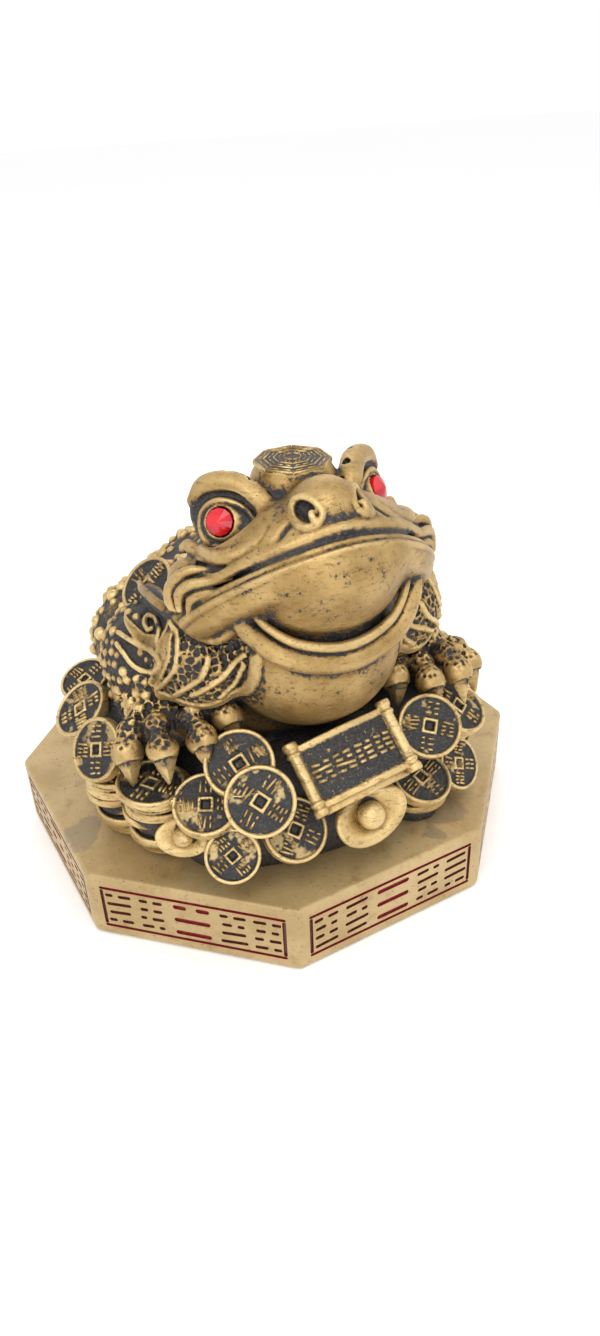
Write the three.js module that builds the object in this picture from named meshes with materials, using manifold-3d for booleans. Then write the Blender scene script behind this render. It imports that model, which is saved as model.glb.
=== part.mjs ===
// A money toad: one casting of a toad that squats on a heap of coins, with two set gems for eyes,
// on an eight-sided plinth with an engraved panel on each side. Millimetres, +Z up, origin at the
// middle of the plinth's underside. The toad looks along -Y, turned a little by figureTurn.
import * as THREE from "three";
import { mergeVertices } from "three/addons/utils/BufferGeometryUtils.js";
import Module from "manifold-3d";

const wasm = await Module();
wasm.setup();

// Plinth
const plinthAcross = 138.6; // from flat to flat
const plinthHeight = 21;
const plinthRound = 1.2; // rounding of its top and bottom edges
const plinthSides = 8;
const panelMargin = 3.2; // from the plinth's edges to the engraved frame
const grooveWidth = 1;
const grooveDepth = 0.6;
const barWidth = 1.7; // one bar of a trigram
const barLength = 10;
const barSpacing = 4.6;
const barBreak = 2.6; // the gap in a broken bar

// Casting
const figureWidth = 100; // elbow to elbow
const figureTurn = THREE.MathUtils.degToRad(-5.5); // how far the casting stands turned on its plinth
const seatGap = 0.3; // between the casting and the plinth
const heapRadius = 56;
const heapHeight = 27;

// Coins, ingots and scroll
const coinRadius = 8.8;
const coinThickness = 3.4;
const coinRim = 1.1;
const coinRimHeight = 0.7;
const coinHole = 3.4; // side of the square boss around the hole
const stackBite = 0.3; // each coin of a stack is fused this deep into the one below it
const stackSway = 1; // how far the coins of a stack lie off its middle
const ingotLength = 20.5;
const scrollLength = 27;
const scrollWidth = 17;
const scrollThickness = 2.4;
const scrollRise = 3; // how far its middle arches up
const rodRadius = 1.5;
const rodLength = 20;
const knobRadius = 2;

// Gems
const gemRadius = 3.2;
const gemDepth = 1.6; // of the straight part that sits in the eye
const gemPoint = 1.5; // how far its point stands out
const gemSink = 0.4; // how far its rim lies behind the front of the eyeball
const gemGap = 0.3; // around the gem in its seat

const unit = figureWidth / 100;

// A place on the toad, in hundredths of its width, up from the plinth's top.
function at(x, y, z) {
  return new THREE.Vector3(x, y, z).multiplyScalar(unit);
}

// A place on the heap: across it in hundredths of its radius, up it in hundredths of its height.
function onHeap(x, y, z) {
  return new THREE.Vector3(x * heapRadius, y * heapRadius, z * heapHeight).divideScalar(100);
}

function solid(geometry) {
  const bare = geometry.clone();
  for (const name of Object.keys(bare.attributes)) {
    if (name !== "position") bare.deleteAttribute(name);
  }
  const merged = mergeVertices(bare, 1e-4);
  return new wasm.Manifold(
    new wasm.Mesh({
      numProp: 3,
      vertProperties: new Float32Array(merged.attributes.position.array),
      triVerts: new Uint32Array(merged.index.array),
    }),
  );
}

function geometryOf(made) {
  const mesh = made.getMesh();
  const geometry = new THREE.BufferGeometry();
  geometry.setAttribute("position", new THREE.BufferAttribute(mesh.vertProperties, 3));
  geometry.setIndex(new THREE.BufferAttribute(mesh.triVerts, 1));
  geometry.computeVertexNormals();
  return geometry;
}

function joined(geometries) {
  return wasm.Manifold.union(geometries.map(solid));
}

// Moves a geometry so that its own +Z points along direction and its origin sits at place.
function placed(geometry, place, direction, spin = 0) {
  const turn = new THREE.Quaternion().setFromUnitVectors(
    new THREE.Vector3(0, 0, 1),
    direction.clone().normalize(),
  );
  const own = new THREE.Matrix4().makeRotationZ(spin);
  const frame = new THREE.Matrix4().compose(place, turn, new THREE.Vector3(1, 1, 1));
  return geometry.clone().applyMatrix4(frame.multiply(own));
}

function mirrored(geometry) {
  const flipped = geometry.clone().scale(-1, 1, 1);
  const index = flipped.index;
  for (let i = 0; i < index.count; i += 3) {
    const first = index.getX(i);
    index.setX(i, index.getX(i + 1));
    index.setX(i + 1, first);
  }
  return flipped;
}

function bothSides(geometries) {
  return [...geometries, ...geometries.map(mirrored)];
}

// An ellipsoid: centre and radii in hundredths of the toad's width, tipped about X in degrees.
function ball(centre, radii, across, down, tip = 0) {
  const place = at(...centre);
  return new THREE.SphereGeometry(1, across, down)
    .scale(...at(...radii).toArray())
    .rotateX(THREE.MathUtils.degToRad(tip))
    .translate(place.x, place.y, place.z);
}

// A round bar with rounded ends, bent along points, with a radius for each point.
function bentBar(points, radii, sides, steps) {
  const curve = new THREE.CatmullRomCurve3(points.map((p) => at(...p)));
  const height = 1;
  const geometry = new THREE.CapsuleGeometry(1, height, 1, sides, steps);
  const position = geometry.attributes.position;
  const upright = new THREE.Vector3(0.1, -0.2, 1);
  for (let i = 0; i < position.count; i += 1) {
    const v = new THREE.Vector3().fromBufferAttribute(position, i);
    const along = THREE.MathUtils.clamp(v.y, -height / 2, height / 2);
    const t = along / height + 0.5;
    const tangent = curve.getTangent(t);
    const side = new THREE.Vector3().crossVectors(tangent, upright).normalize();
    const over = new THREE.Vector3().crossVectors(side, tangent);
    const place = t * (radii.length - 1);
    const low = Math.min(Math.floor(place), radii.length - 2);
    const radius = THREE.MathUtils.lerp(radii[low], radii[low + 1], place - low) * unit;
    const p = curve
      .getPoint(t)
      .addScaledVector(side, v.x * radius)
      .addScaledVector(over, v.z * radius)
      .addScaledVector(tangent, (v.y - along) * radius);
    position.setXYZ(i, p.x, p.y, p.z);
  }
  return geometry;
}

// The toad's trunk is one skin drawn round these soft forms: centre and radii.
const trunkForms = [
  { centre: [0, -32.8, 54.5], radii: [24.3, 24.3, 24.3] }, // belly
  { centre: [0, -40, 75.5], radii: [21, 20, 15.5] }, // throat
  { centre: [0, 0, 39], radii: [38, 40, 32] }, // back
  { centre: [25, 24, 30], radii: [19, 20, 19] }, // haunches
  { centre: [-25, 24, 30], radii: [19, 20, 19] },
  { centre: [33.5, -13.5, 46], radii: [15.5, 17.5, 15.5] }, // shoulders
  { centre: [-33.5, -13.5, 46], radii: [15.5, 17.5, 15.5] },
  { centre: [26.5, -28, 53], radii: [13.5, 14.5, 14.5] }, // forearms
  { centre: [-26.5, -28, 53], radii: [13.5, 14.5, 14.5] },
];
const trunkBlend = 3;
const trunkHeart = [0, -14, 50]; // every point of the skin is seen from here
const trunkReach = 90; // no point of the skin is farther from the heart than this
const trunkDetail = 5;

function formDistance(point, form) {
  const q = point.clone().divideScalar(unit).sub(new THREE.Vector3(...form.centre));
  const [a, b, c] = form.radii;
  const outer = Math.hypot(q.x / a, q.y / b, q.z / c);
  const inner = Math.hypot(q.x / (a * a), q.y / (b * b), q.z / (c * c));
  return inner > 0 ? (outer * (outer - 1)) / inner : -Math.min(a, b, c);
}

function softUnion(a, b, blend) {
  const share = Math.max(blend - Math.abs(a - b), 0) / blend;
  return Math.min(a, b) - (share * share * blend) / 4;
}

function trunkDistance(point) {
  return trunkForms
    .map((form) => formDistance(point, form))
    .reduce((near, d) => softUnion(near, d, trunkBlend));
}

// Draws a ball's skin in from outside, first in steps and then by halving, until it meets the field.
function shrinkWrap(heart, reach, detail, distance) {
  const geometry = new THREE.IcosahedronGeometry(1, detail);
  const position = geometry.attributes.position;
  const coarse = reach / 60;
  const halvings = 12;
  for (let i = 0; i < position.count; i += 1) {
    const ray = new THREE.Vector3().fromBufferAttribute(position, i).normalize();
    const found = (length) => distance(heart.clone().addScaledVector(ray, length)) < 0;
    let outer = reach;
    while (outer > coarse && !found(outer - coarse)) outer -= coarse;
    let inner = outer - coarse;
    for (let k = 0; k < halvings; k += 1) {
      const middle = (inner + outer) / 2;
      if (found(middle)) inner = middle;
      else outer = middle;
    }
    const p = heart.clone().addScaledVector(ray, inner);
    position.setXYZ(i, p.x, p.y, p.z);
  }
  return mergeVertices(geometry.deleteAttribute("normal").deleteAttribute("uv"), 1e-3);
}

function trunk() {
  return shrinkWrap(at(...trunkHeart), trunkReach * unit, trunkDetail, trunkDistance);
}

// Head: skull, jaw, dome, brows, eyes, nose, lips and cheeks
const mouthTip = -43; // the mouth opens in a plane that rises to the front by this much
const mouthPoint = 1.6; // 2 would be a round mouth, less is more pointed at the front
const discRadius = 8.7; // the eight-sided disc that lies on the dome
const discThickness = 2.8;
const eyeCentre = [17.6, -29.2, 86.6];
const eyeRadius = 6.2;
const gazeDirection = new THREE.Vector3(0.57, -0.72, 0.4).normalize();

// One half of the mouth: a ball with a pointed rim and different heights over and under the rim.
function mouthHalf(centre, radii, under, down) {
  const geometry = new THREE.SphereGeometry(1, 12, down).rotateX(Math.PI / 2);
  const position = geometry.attributes.position;
  for (let i = 0; i < position.count; i += 1) {
    const [x, y, z] = [position.getX(i), position.getY(i), position.getZ(i)];
    const round = Math.hypot(x, y);
    const rim = (Math.abs(x) ** mouthPoint + Math.abs(y) ** mouthPoint) ** (1 / mouthPoint);
    const share = round > 0 ? round / rim : 1;
    position.setXYZ(i, x * share * radii[0], y * share * radii[1], z * (z < 0 ? under : radii[2]));
  }
  const place = at(...centre);
  return geometry
    .scale(unit, unit, unit)
    .rotateX(THREE.MathUtils.degToRad(mouthTip))
    .translate(place.x, place.y, place.z);
}

function head() {
  const skull = mouthHalf([0, -32.2, 71], [32.5, 31.5, 17.5], 4, 7);
  const jaw = mouthHalf([0, -36.5, 66.5], [33, 32, 2], 9, 4);
  const dome = ball([0, -28.8, 89.3], [10.9, 10.9, 10.9], 8, 6);
  const disc = placed(
    new THREE.CylinderGeometry(0.95 * discRadius, discRadius, discThickness, 8)
      .scale(unit, unit, unit)
      .rotateX(Math.PI / 2),
    at(0, -28.6, 97.2),
    new THREE.Vector3(0, -0.04, 1),
  );
  const brow = bentBar(
    [[9.5, -39, 90], [12, -35, 93.5], [16, -28.7, 95.3], [20.7, -24.5, 93], [22.3, -24, 87],
      [21.5, -26, 82]],
    [1.6, 2.7, 3, 3, 2.6, 2],
    6,
    6,
  );
  const nose = ball([0, -46, 91], [9.5, 9, 8.3], 10, 6, mouthTip);
  const nostril = placed(
    new THREE.TorusGeometry(2.3, 1, 4, 6).scale(unit, unit, unit),
    at(7.6, -50.3, 94.5),
    new THREE.Vector3(0.5, -0.7, 0.5),
  );
  const cheek = ball([29.5, -32.5, 75], [4.6, 7, 5.6], 8, 5);
  const eye = ball(eyeCentre, [eyeRadius, eyeRadius, eyeRadius], 10, 6);
  const lid = bentBar(
    [[12, -37.5, 86.5], [17.5, -38, 82], [24, -33, 80.5], [27, -27, 82]],
    [1.4, 2, 2.3, 1.8],
    5,
    3,
  );
  const strap = bentBar(
    [[33, -4, 60], [34.5, -19, 64], [33.5, -32, 65], [31, -38, 61]],
    [1.5, 1.7, 1.8, 1.7],
    5,
    3,
  );
  return [skull, jaw, dome, disc, nose, ...bothSides([brow, nostril, cheek, eye, lid, strap])];
}

// Throat roll, the smiling fold under the throat
function throatRoll() {
  return bentBar(
    [[-23.5, -45, 74], [-21, -49.5, 67.5], [-13, -54.5, 61.5], [0, -57, 59], [13, -54.5, 61.5],
      [21, -49.5, 67.5], [23.5, -45, 74]],
    [1.6, 2.4, 2.8, 2.9, 2.8, 2.4, 1.6],
    5,
    10,
  );
}

// Front limbs: a wrist, a palm and four clawed toes each
const toes = [
  { knuckle: [48, -31, 37.5], bulb: [50.2, -34.5, 34.8], tip: [50.8, -37.8, 26.6] },
  { knuckle: [42, -35.5, 40.5], bulb: [42.8, -40.8, 37.8], tip: [43.2, -44, 29.1] },
  { knuckle: [34, -36, 39.5], bulb: [33.2, -42.3, 38.2], tip: [33, -46, 31] },
  { knuckle: [27.5, -33.5, 40], bulb: [24.8, -38, 39.5], tip: [23.8, -41, 32.2] },
];
const palmCentre = [38.5, -27, 35];
const toeRoot = 0.45; // where a toe leaves the palm, on the way from its knuckle to the palm's middle
const clawStart = 0.35; // where the claw leaves the toe's bulb, on the way from the bulb to the tip

function between(from, to, share) {
  return new THREE.Vector3(...from).lerp(new THREE.Vector3(...to), share).toArray();
}

function frontLimb() {
  const palm = ball(palmCentre, [10.5, 9, 7.5], 8, 5);
  const wrist = bentBar([[38, -14, 40], [39, -25, 37]], [10, 8], 6, 1);
  const clawed = toes.map(({ knuckle, bulb, tip }) => {
    const root = between(knuckle, palmCentre, toeRoot);
    const claw = between(bulb, tip, clawStart);
    return bentBar([root, knuckle, bulb, claw, tip], [3.4, 3.9, 3.9, 2.9, 0.4], 5, 4);
  });
  return [palm, wrist, ...clawed];
}

// The limb on the toad's left sits a little lower and closer in than the one on its right.
const leftLimbShift = [-1.5, 0, -2.5];

function frontLimbs() {
  const left = frontLimb().map((piece) => piece.translate(...at(...leftLimbShift)));
  return [...left, ...frontLimb().map(mirrored)];
}

// The single hind leg, folded under the rump
function hindLimb() {
  const thigh = ball([0, 38, 26], [15, 14, 15], 8, 5);
  const foot = bentBar([[0, 40, 18], [0, 50, 13], [0, 56, 8]], [7, 5.5, 3.5], 6, 2);
  return [thigh, foot];
}

// One coin, lying flat with its face up: a raised rim and a square boss round its hole.
function coin(radius) {
  const sides = 9;
  const half = coinThickness / 2;
  const field = half - coinRimHeight;
  const profile = [
    [0, -half],
    [radius, -half],
    [radius, half],
    [radius - coinRim, half],
    [radius - coinRim, field],
    [0, field],
  ].map(([r, z]) => new THREE.Vector2(r, z));
  const disc = new THREE.LatheGeometry(profile, sides).rotateX(Math.PI / 2);
  const boss = new THREE.BoxGeometry(coinHole, coinHole, coinRimHeight * 2).translate(0, 0, field);
  return [disc, boss];
}

// A coin whose face is hardly seen.
function plainCoin() {
  const sides = 7;
  return new THREE.CylinderGeometry(coinRadius, coinRadius, coinThickness, sides).rotateX(Math.PI / 2);
}

// Coins that show at the front and the left: centre on the heap, facing direction, size as a share
// of coinRadius, and spin.
const frontCoins = [
  { place: [-44.6, -105.4, 100], faces: [-0.3, -0.75, 0.6], size: 1, spin: 10 },
  { place: [-47.3, -89.3, 120.4], faces: [-0.25, -0.55, 0.8], size: 1, spin: 30 },
  { place: [-64.3, -89.3, 85.2], faces: [-0.2, -0.45, 0.9], size: 0.95, spin: 20 },
  { place: [-58.9, -104.5, 46.3], faces: [-0.3, -0.8, 0.5], size: 0.8, spin: 5 },
  { place: [-29.5, -105.4, 53.7], faces: [0, -0.7, 0.7], size: 0.95, spin: 15 },
  { place: [46.4, -92.9, 103.7], faces: [-0.15, -0.7, 0.7], size: 0.98, spin: 12 },
  { place: [72.3, -76.8, 88.9], faces: [0.3, -0.47, 0.8], size: 0.98, spin: 40 },
  { place: [40.2, -97.3, 50], faces: [0.1, -0.4, 0.9], size: 0.95, spin: 35 },
  { place: [66.1, -88.4, 37], faces: [0.35, -0.75, 0.55], size: 0.85, spin: 25 },
  { place: [-99.1, -44.6, 111.1], faces: [-0.75, -0.35, 0.55], size: 0.95, spin: 15 },
  { place: [-99.1, -16.1, 120.4], faces: [-0.6, -0.1, 0.8], size: 0.95, spin: 50 },
  { place: [-92, 5.4, 124.1], faces: [-0.35, -0.15, 0.9], size: 0.82, spin: 5 },
];
const shoulderCoin = { faces: [-0.65, -0.2, 0.75], size: 0.95, spin: 30 };
const shoulderPlace = at(-31, 0, 59.5);

function placedCoin(place, { faces, size, spin }) {
  const direction = new THREE.Vector3(...faces);
  return coin(coinRadius * size).map((piece) => placed(piece, place, direction, spin));
}

function coinHeap() {
  return [
    ...frontCoins.flatMap((one) => placedCoin(onHeap(...one.place), one)),
    ...placedCoin(shoulderPlace, shoulderCoin),
  ];
}

// Stacks of flat coins: the middle of the lowest and of the highest coin, on the heap.
const coinStacks = [
  { foot: [-75.9, -55.4, 7.4], top: [-81.3, -68.8, 92.6] },
  { foot: [-85.7, -35.7, 7.4], top: [-92.9, -41.1, 77.8] },
  { foot: [42.9, -83.9, 7.4], top: [42, -89.3, 25.9] },
  { foot: [65.2, -62.5, 7.4], top: [73.2, -66.1, 59.3] },
];
const stackTurn = 2.2; // the way each coin lies off its stack's middle turns by this much

function coinStack({ foot, top }) {
  const low = onHeap(...foot);
  const high = onHeap(...top);
  const count = Math.round((high.z - low.z) / (coinThickness - stackBite));
  return Array.from({ length: count + 1 }, (_, k) => {
    const place = low.clone().lerp(high, k / count);
    place.x += stackSway * Math.cos(stackTurn * k);
    place.y += stackSway * Math.sin(stackTurn * k);
    return placed(plainCoin(), place, new THREE.Vector3(0, 0, 1), k);
  });
}

// Coins strewn in rings over the heap's hidden back and sides, each leaning outwards.
const coinRings = [
  { height: 18.5, radius: 87.5, count: 4, lean: 0.9, start: 0 },
  { height: 63, radius: 78.6, count: 4, lean: 0.6, start: 0.5 },
];
const ringFrom = -20; // degrees round the heap from +X
const ringSweep = 220;

function backCoins() {
  return coinRings.flatMap(({ height, radius, count, lean, start }) =>
    Array.from({ length: count }, (_, k) => {
      const angle = THREE.MathUtils.degToRad(ringFrom + (ringSweep * (k + start)) / count);
      const [x, y] = [Math.cos(angle), Math.sin(angle)];
      const outwards = new THREE.Vector3(x * lean, y * lean, 1 - lean / 2);
      return placed(plainCoin(), onHeap(radius * x, radius * y, height), outwards);
    }),
  );
}

// The mass of the heap under its coins: a low drum and lumps that fill the spaces between the pieces.
const drumProfile = [
  [0, 0],
  [86, 0],
  [84, 60],
  [64, 100],
  [0, 100],
];
const drumSides = 12;
const drumShift = -5.4; // the drum stands a little in front of the middle
const heapLumps = [
  { centre: [-3.6, -75, 29.6], radii: [73.2, 28.6, 77.8], across: 10, down: 5 },
  { centre: [-54, -88, 70], radii: [28.6, 14.3, 50], across: 6, down: 3 },
  { centre: [1.8, -94.6, 81.5], radii: [19.6, 12.5, 33.3], across: 6, down: 4 },
  { centre: [46.4, -83.9, 81.5], radii: [16.1, 12.5, 29.6], across: 6, down: 4 },
  { centre: [7.1, -100, 48.1], radii: [14.3, 10.7, 29.6], across: 6, down: 4 },
  { centre: [78.6, -17.9, 88.9], radii: [16.1, 32.1, 51.9], across: 6, down: 4 },
  { centre: [-78.6, -17.9, 88.9], radii: [16.1, 32.1, 51.9], across: 6, down: 4 },
];

function heapCore() {
  const profile = drumProfile.map(([r, z]) => {
    const corner = onHeap(r, 0, z);
    return new THREE.Vector2(corner.x, corner.z);
  });
  const shift = onHeap(0, drumShift, 0);
  const drum = new THREE.LatheGeometry(profile, drumSides).rotateX(Math.PI / 2).translate(...shift);
  const lumps = heapLumps.map(({ centre, radii, across, down }) =>
    new THREE.SphereGeometry(1, across, down)
      .scale(...onHeap(...radii))
      .translate(...onHeap(...centre)),
  );
  return [drum, ...lumps];
}

// A boat-shaped ingot with a ball in its middle, facing up.
const ingotShape = { width: 0.72, depth: 0.3, rise: 0.3, ball: 0.36, ballHeight: 0.2 }; // per half length

function ingot(length) {
  const long = length / 2;
  const hull = new THREE.SphereGeometry(1, 12, 5);
  hull.scale(long, long * ingotShape.width, long * ingotShape.depth);
  const position = hull.attributes.position;
  for (let i = 0; i < position.count; i += 1) {
    const share = position.getX(i) / long;
    position.setZ(i, position.getZ(i) + share * share * long * ingotShape.rise);
  }
  const middle = new THREE.SphereGeometry(long * ingotShape.ball, 8, 5);
  return [hull, middle.translate(0, 0, long * ingotShape.ballHeight)];
}

const ingots = [
  { place: [5, -110.7, 52.6], faces: [-0.05, -0.75, 0.6], size: 1, spin: 0.25 },
  { place: [-75, -87.5, 53.7], faces: [-0.45, -0.65, 0.6], size: 0.7, spin: -0.5 },
];

function ingotPile() {
  return ingots.flatMap(({ place, faces, size, spin }) =>
    ingot(ingotLength * size).map((piece) =>
      placed(piece, onHeap(...place), new THREE.Vector3(...faces), spin),
    ),
  );
}

// A half-open scroll: an arched sheet between two rods.
const scrollPlace = [2.7, -100, 107.4];
const scrollFaces = new THREE.Vector3(-0.08, -0.68, 0.73);
const scrollSpin = 0.1;

function scroll() {
  const half = scrollLength / 2;
  const arch = new THREE.Shape();
  arch.moveTo(-half, 0);
  arch.quadraticCurveTo(0, scrollRise * 2, half, 0);
  arch.lineTo(half, -scrollThickness);
  arch.quadraticCurveTo(0, scrollRise * 2 - scrollThickness, -half, -scrollThickness);
  arch.closePath();
  const sheet = new THREE.ExtrudeGeometry(arch, {
    depth: scrollWidth,
    bevelEnabled: false,
    curveSegments: 5,
  });
  sheet.translate(0, 0, -scrollWidth / 2).rotateX(Math.PI / 2);
  const end = rodLength / 2;
  const neck = end - 1.5 * knobRadius;
  const profile = [
    [0, -end],
    [knobRadius, -end],
    [knobRadius, knobRadius - end],
    [rodRadius, -neck],
    [rodRadius, neck],
    [knobRadius, end - knobRadius],
    [knobRadius, end],
    [0, end],
  ].map(([r, y]) => new THREE.Vector2(r, y));
  const rods = [-half, half].map((x) => new THREE.LatheGeometry(profile, 7).translate(x, 0, 0));
  const place = onHeap(...scrollPlace);
  return [sheet, ...rods].map((piece) => placed(piece, place, scrollFaces, scrollSpin));
}

// The eye gem: a straight seat part and a low many-sided point. It is turned to face the gaze.
function gemShape(radius, bottom, point) {
  const profile = [
    [0, bottom],
    [radius, bottom],
    [radius, 0],
    [0, point],
  ].map(([r, z]) => new THREE.Vector2(r, z));
  return new THREE.LatheGeometry(profile, 12).rotateX(Math.PI / 2);
}

function gemFrame(geometry) {
  const front = at(...eyeCentre).addScaledVector(gazeDirection, eyeRadius * unit - gemSink);
  return placed(geometry, front, gazeDirection);
}

const seatReach = 9; // the gem's seat is cut this far out past its point, through brow and lid

function casting() {
  const body = joined([
    trunk(),
    throatRoll(),
    ...head(),
    ...frontLimbs(),
    ...hindLimb(),
    ...heapCore(),
    ...coinHeap(),
    ...coinStacks.flatMap(coinStack),
    ...backCoins(),
    ...ingotPile(),
    ...scroll(),
  ]);
  const seat = gemShape(gemRadius + gemGap, -gemDepth - gemGap, gemPoint + seatReach * unit);
  const wide = 2 * plinthAcross;
  const below = new THREE.BoxGeometry(wide, wide, wide).translate(0, 0, -wide / 2);
  return body.subtract(joined([...bothSides([gemFrame(seat)]), below]));
}

const goldPaint = new THREE.MeshStandardMaterial({ color: 0xb18a4a, roughness: 0.42, metalness: 0.75 });
const plinthPaint = new THREE.MeshStandardMaterial({ color: 0xb8975a, roughness: 0.45, metalness: 0.7 });
const redGlass = new THREE.MeshStandardMaterial({ color: 0xd0202c, roughness: 0.12, metalness: 0 });

// Trigrams round the plinth, from the side at -Y, each from its top bar down: true is an unbroken bar.
const trigrams = [
  [true, true, true],
  [true, true, false],
  [false, true, false],
  [true, false, false],
  [false, false, false],
  [false, false, true],
  [true, false, true],
  [false, true, true],
];

// One side's engraving, in the plane of the side: x along it, y up it, cut in along -z.
function panelCuts(trigram, panelLength, panelHeight) {
  const cut = (length, height, x, y) =>
    new THREE.BoxGeometry(length, height, grooveDepth * 2).translate(x, y, 0);
  const made = [-1, 1].flatMap((end) => [
    cut(panelLength, grooveWidth, 0, (end * (panelHeight - grooveWidth)) / 2),
    cut(grooveWidth, panelHeight, (end * (panelLength - grooveWidth)) / 2, 0),
  ]);
  trigram.forEach((whole, row) => {
    const y = (1 - row) * barSpacing;
    if (whole) {
      made.push(cut(barLength, barWidth, 0, y));
      return;
    }
    const half = (barLength - barBreak) / 2;
    const middle = (half + barBreak) / 2;
    made.push(cut(half, barWidth, -middle, y), cut(half, barWidth, middle, y));
  });
  return made;
}

function plinth() {
  const circumradius = plinthAcross / 2 / Math.cos(Math.PI / plinthSides);
  const outline = new THREE.Shape();
  for (let k = 0; k < plinthSides; k += 1) {
    const angle = ((k + 0.5) * 2 * Math.PI) / plinthSides;
    const reach = circumradius - plinthRound;
    const [x, y] = [reach * Math.cos(angle), reach * Math.sin(angle)];
    if (k) outline.lineTo(x, y);
    else outline.moveTo(x, y);
  }
  outline.closePath();
  const block = new THREE.ExtrudeGeometry(outline, {
    depth: plinthHeight - 2 * plinthRound,
    bevelThickness: plinthRound,
    bevelSize: plinthRound * Math.cos(Math.PI / plinthSides),
    bevelSegments: 2,
  }).translate(0, 0, plinthRound);
  const panelLength = plinthAcross * Math.tan(Math.PI / plinthSides) - 2 * panelMargin;
  const panelHeight = plinthHeight - 2 * panelMargin;
  const cuts = Array.from({ length: plinthSides }, (_, side) =>
    panelCuts(trigrams[side % trigrams.length], panelLength, panelHeight).map((piece) =>
      piece
        .rotateX(Math.PI / 2)
        .translate(0, -plinthAcross / 2, plinthHeight / 2)
        .rotateZ((side * 2 * Math.PI) / plinthSides),
    ),
  );
  return solid(block).subtract(joined(cuts.flat()));
}

function named(name, geometry, material) {
  const mesh = new THREE.Mesh(geometry, material);
  mesh.name = name;
  return mesh;
}

const gem = gemFrame(gemShape(gemRadius, -gemDepth, gemPoint));
const figure = new THREE.Group();
figure.position.z = plinthHeight + seatGap;
figure.rotation.z = figureTurn;
figure.add(
  named("toad_on_coins", geometryOf(casting()), goldPaint),
  named("eye_gem_left", gem, redGlass),
  named("eye_gem_right", mirrored(gem), redGlass),
);

const moneyToad = new THREE.Group();
moneyToad.add(named("plinth", geometryOf(plinth()), plinthPaint), figure);

export default moneyToad;
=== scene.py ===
# %% [markdown]
# # A money toad on an eight-sided plinth
# The real ornament is a resin casting, painted as old gold: a toad that squats on a heap of coins.
# The measured frame gives every size, and this lesson dresses it. The casting is modelled like clay,
# as one field of distances, because carving, warts and coins then melt into each other as they do
# in a real mould.

# %% Load the measured frame
import math

import bmesh
import bpy
import numpy as np
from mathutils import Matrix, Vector


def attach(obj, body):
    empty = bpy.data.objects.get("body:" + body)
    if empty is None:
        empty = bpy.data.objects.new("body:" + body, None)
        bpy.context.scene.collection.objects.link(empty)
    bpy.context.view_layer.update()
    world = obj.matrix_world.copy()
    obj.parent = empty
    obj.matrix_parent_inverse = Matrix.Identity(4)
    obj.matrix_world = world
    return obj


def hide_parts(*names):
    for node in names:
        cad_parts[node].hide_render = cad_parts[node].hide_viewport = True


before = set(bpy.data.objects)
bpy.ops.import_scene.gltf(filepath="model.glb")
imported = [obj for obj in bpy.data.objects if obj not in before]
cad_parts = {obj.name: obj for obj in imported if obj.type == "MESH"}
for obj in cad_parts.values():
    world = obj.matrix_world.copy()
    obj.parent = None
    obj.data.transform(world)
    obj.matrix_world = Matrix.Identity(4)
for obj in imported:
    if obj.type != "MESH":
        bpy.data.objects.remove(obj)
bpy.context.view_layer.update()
MM = 0.001
print("nodes", sorted(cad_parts))

# %% [markdown]
# ## The camera
# The photograph looks down on the ornament from the front left. The camera stands where the
# plinth's eight corners were seen from, and its lens gives the same perspective.

# %% Set up the camera
CAMERA_PLACE = Vector((-106.0, -217.4, 198.2)) * MM
CAMERA_RIGHT = Vector((0.8669, -0.4973, -0.0341))
CAMERA_UP = Vector((0.2913, 0.4498, 0.8443))
CAMERA_FORWARD = Vector((0.4045, 0.7419, -0.5348))
IMAGE_HEIGHT = 1336
FOCAL_PIXELS = 956.1
SENSOR = 36.0

camera_data = bpy.data.cameras.new("studio_camera")
camera_data.sensor_fit = "VERTICAL"
camera_data.sensor_height = SENSOR
camera_data.lens = SENSOR * FOCAL_PIXELS / IMAGE_HEIGHT
camera = bpy.data.objects.new("studio_camera", camera_data)
bpy.context.scene.collection.objects.link(camera)
for row in range(3):
    camera.matrix_world[row][0] = CAMERA_RIGHT[row]
    camera.matrix_world[row][1] = CAMERA_UP[row]
    camera.matrix_world[row][2] = -CAMERA_FORWARD[row]
    camera.matrix_world[row][3] = CAMERA_PLACE[row]
bpy.context.scene.camera = camera
print("lens", round(camera_data.lens, 2), "mm")

# %% [markdown]
# ## Forms that melt together
# The real figure was modelled in clay before its mould was made, so warts, lips and coins run into
# each other without a seam. Sculpting by hand or metaballs could give that too. Here each form is a
# rule that says how far a place is from its surface, less than nothing inside, because such rules
# can be joined softly and changed by a number. The smaller distance joins two forms and the larger
# one cuts. The soft version of both leaves the fillet that a finger leaves in clay.

# %% Join and cut distances
def soft_min(a, b, blend):
    """The smaller of two distances, rounded off where they differ by less than blend."""
    if blend <= 0:
        return np.minimum(a, b)
    share = np.maximum(blend - np.abs(a - b), 0) / blend
    return np.minimum(a, b) - share * share * (blend / 4)


def soft_max(a, b, blend):
    return -soft_min(-a, -b, blend)


def ramp(value, start, end):
    """0 before start, 1 after end and a smooth rise between them."""
    share = np.clip((value - start) / (end - start), 0, 1)
    return share * share * (3 - 2 * share)


print("distances of 1 and 1.2 mm, softly joined:", round(float(soft_min(1.0, 1.2, 0.6)), 3), "mm")

# %% [markdown]
# ## A block of clay
# The clay is a grid of points that covers the casting, and each point keeps its distance to the
# surface. A new form changes only the part of the grid that it reaches, which keeps the work quick.
# A finer grid holds finer carving and takes more memory. All clay work is in millimetres, seen from
# the toad: -Y is ahead of it and z starts on the plinth.

# %% Make the block of clay
PITCH = 0.38
FAR = 6.0


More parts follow.
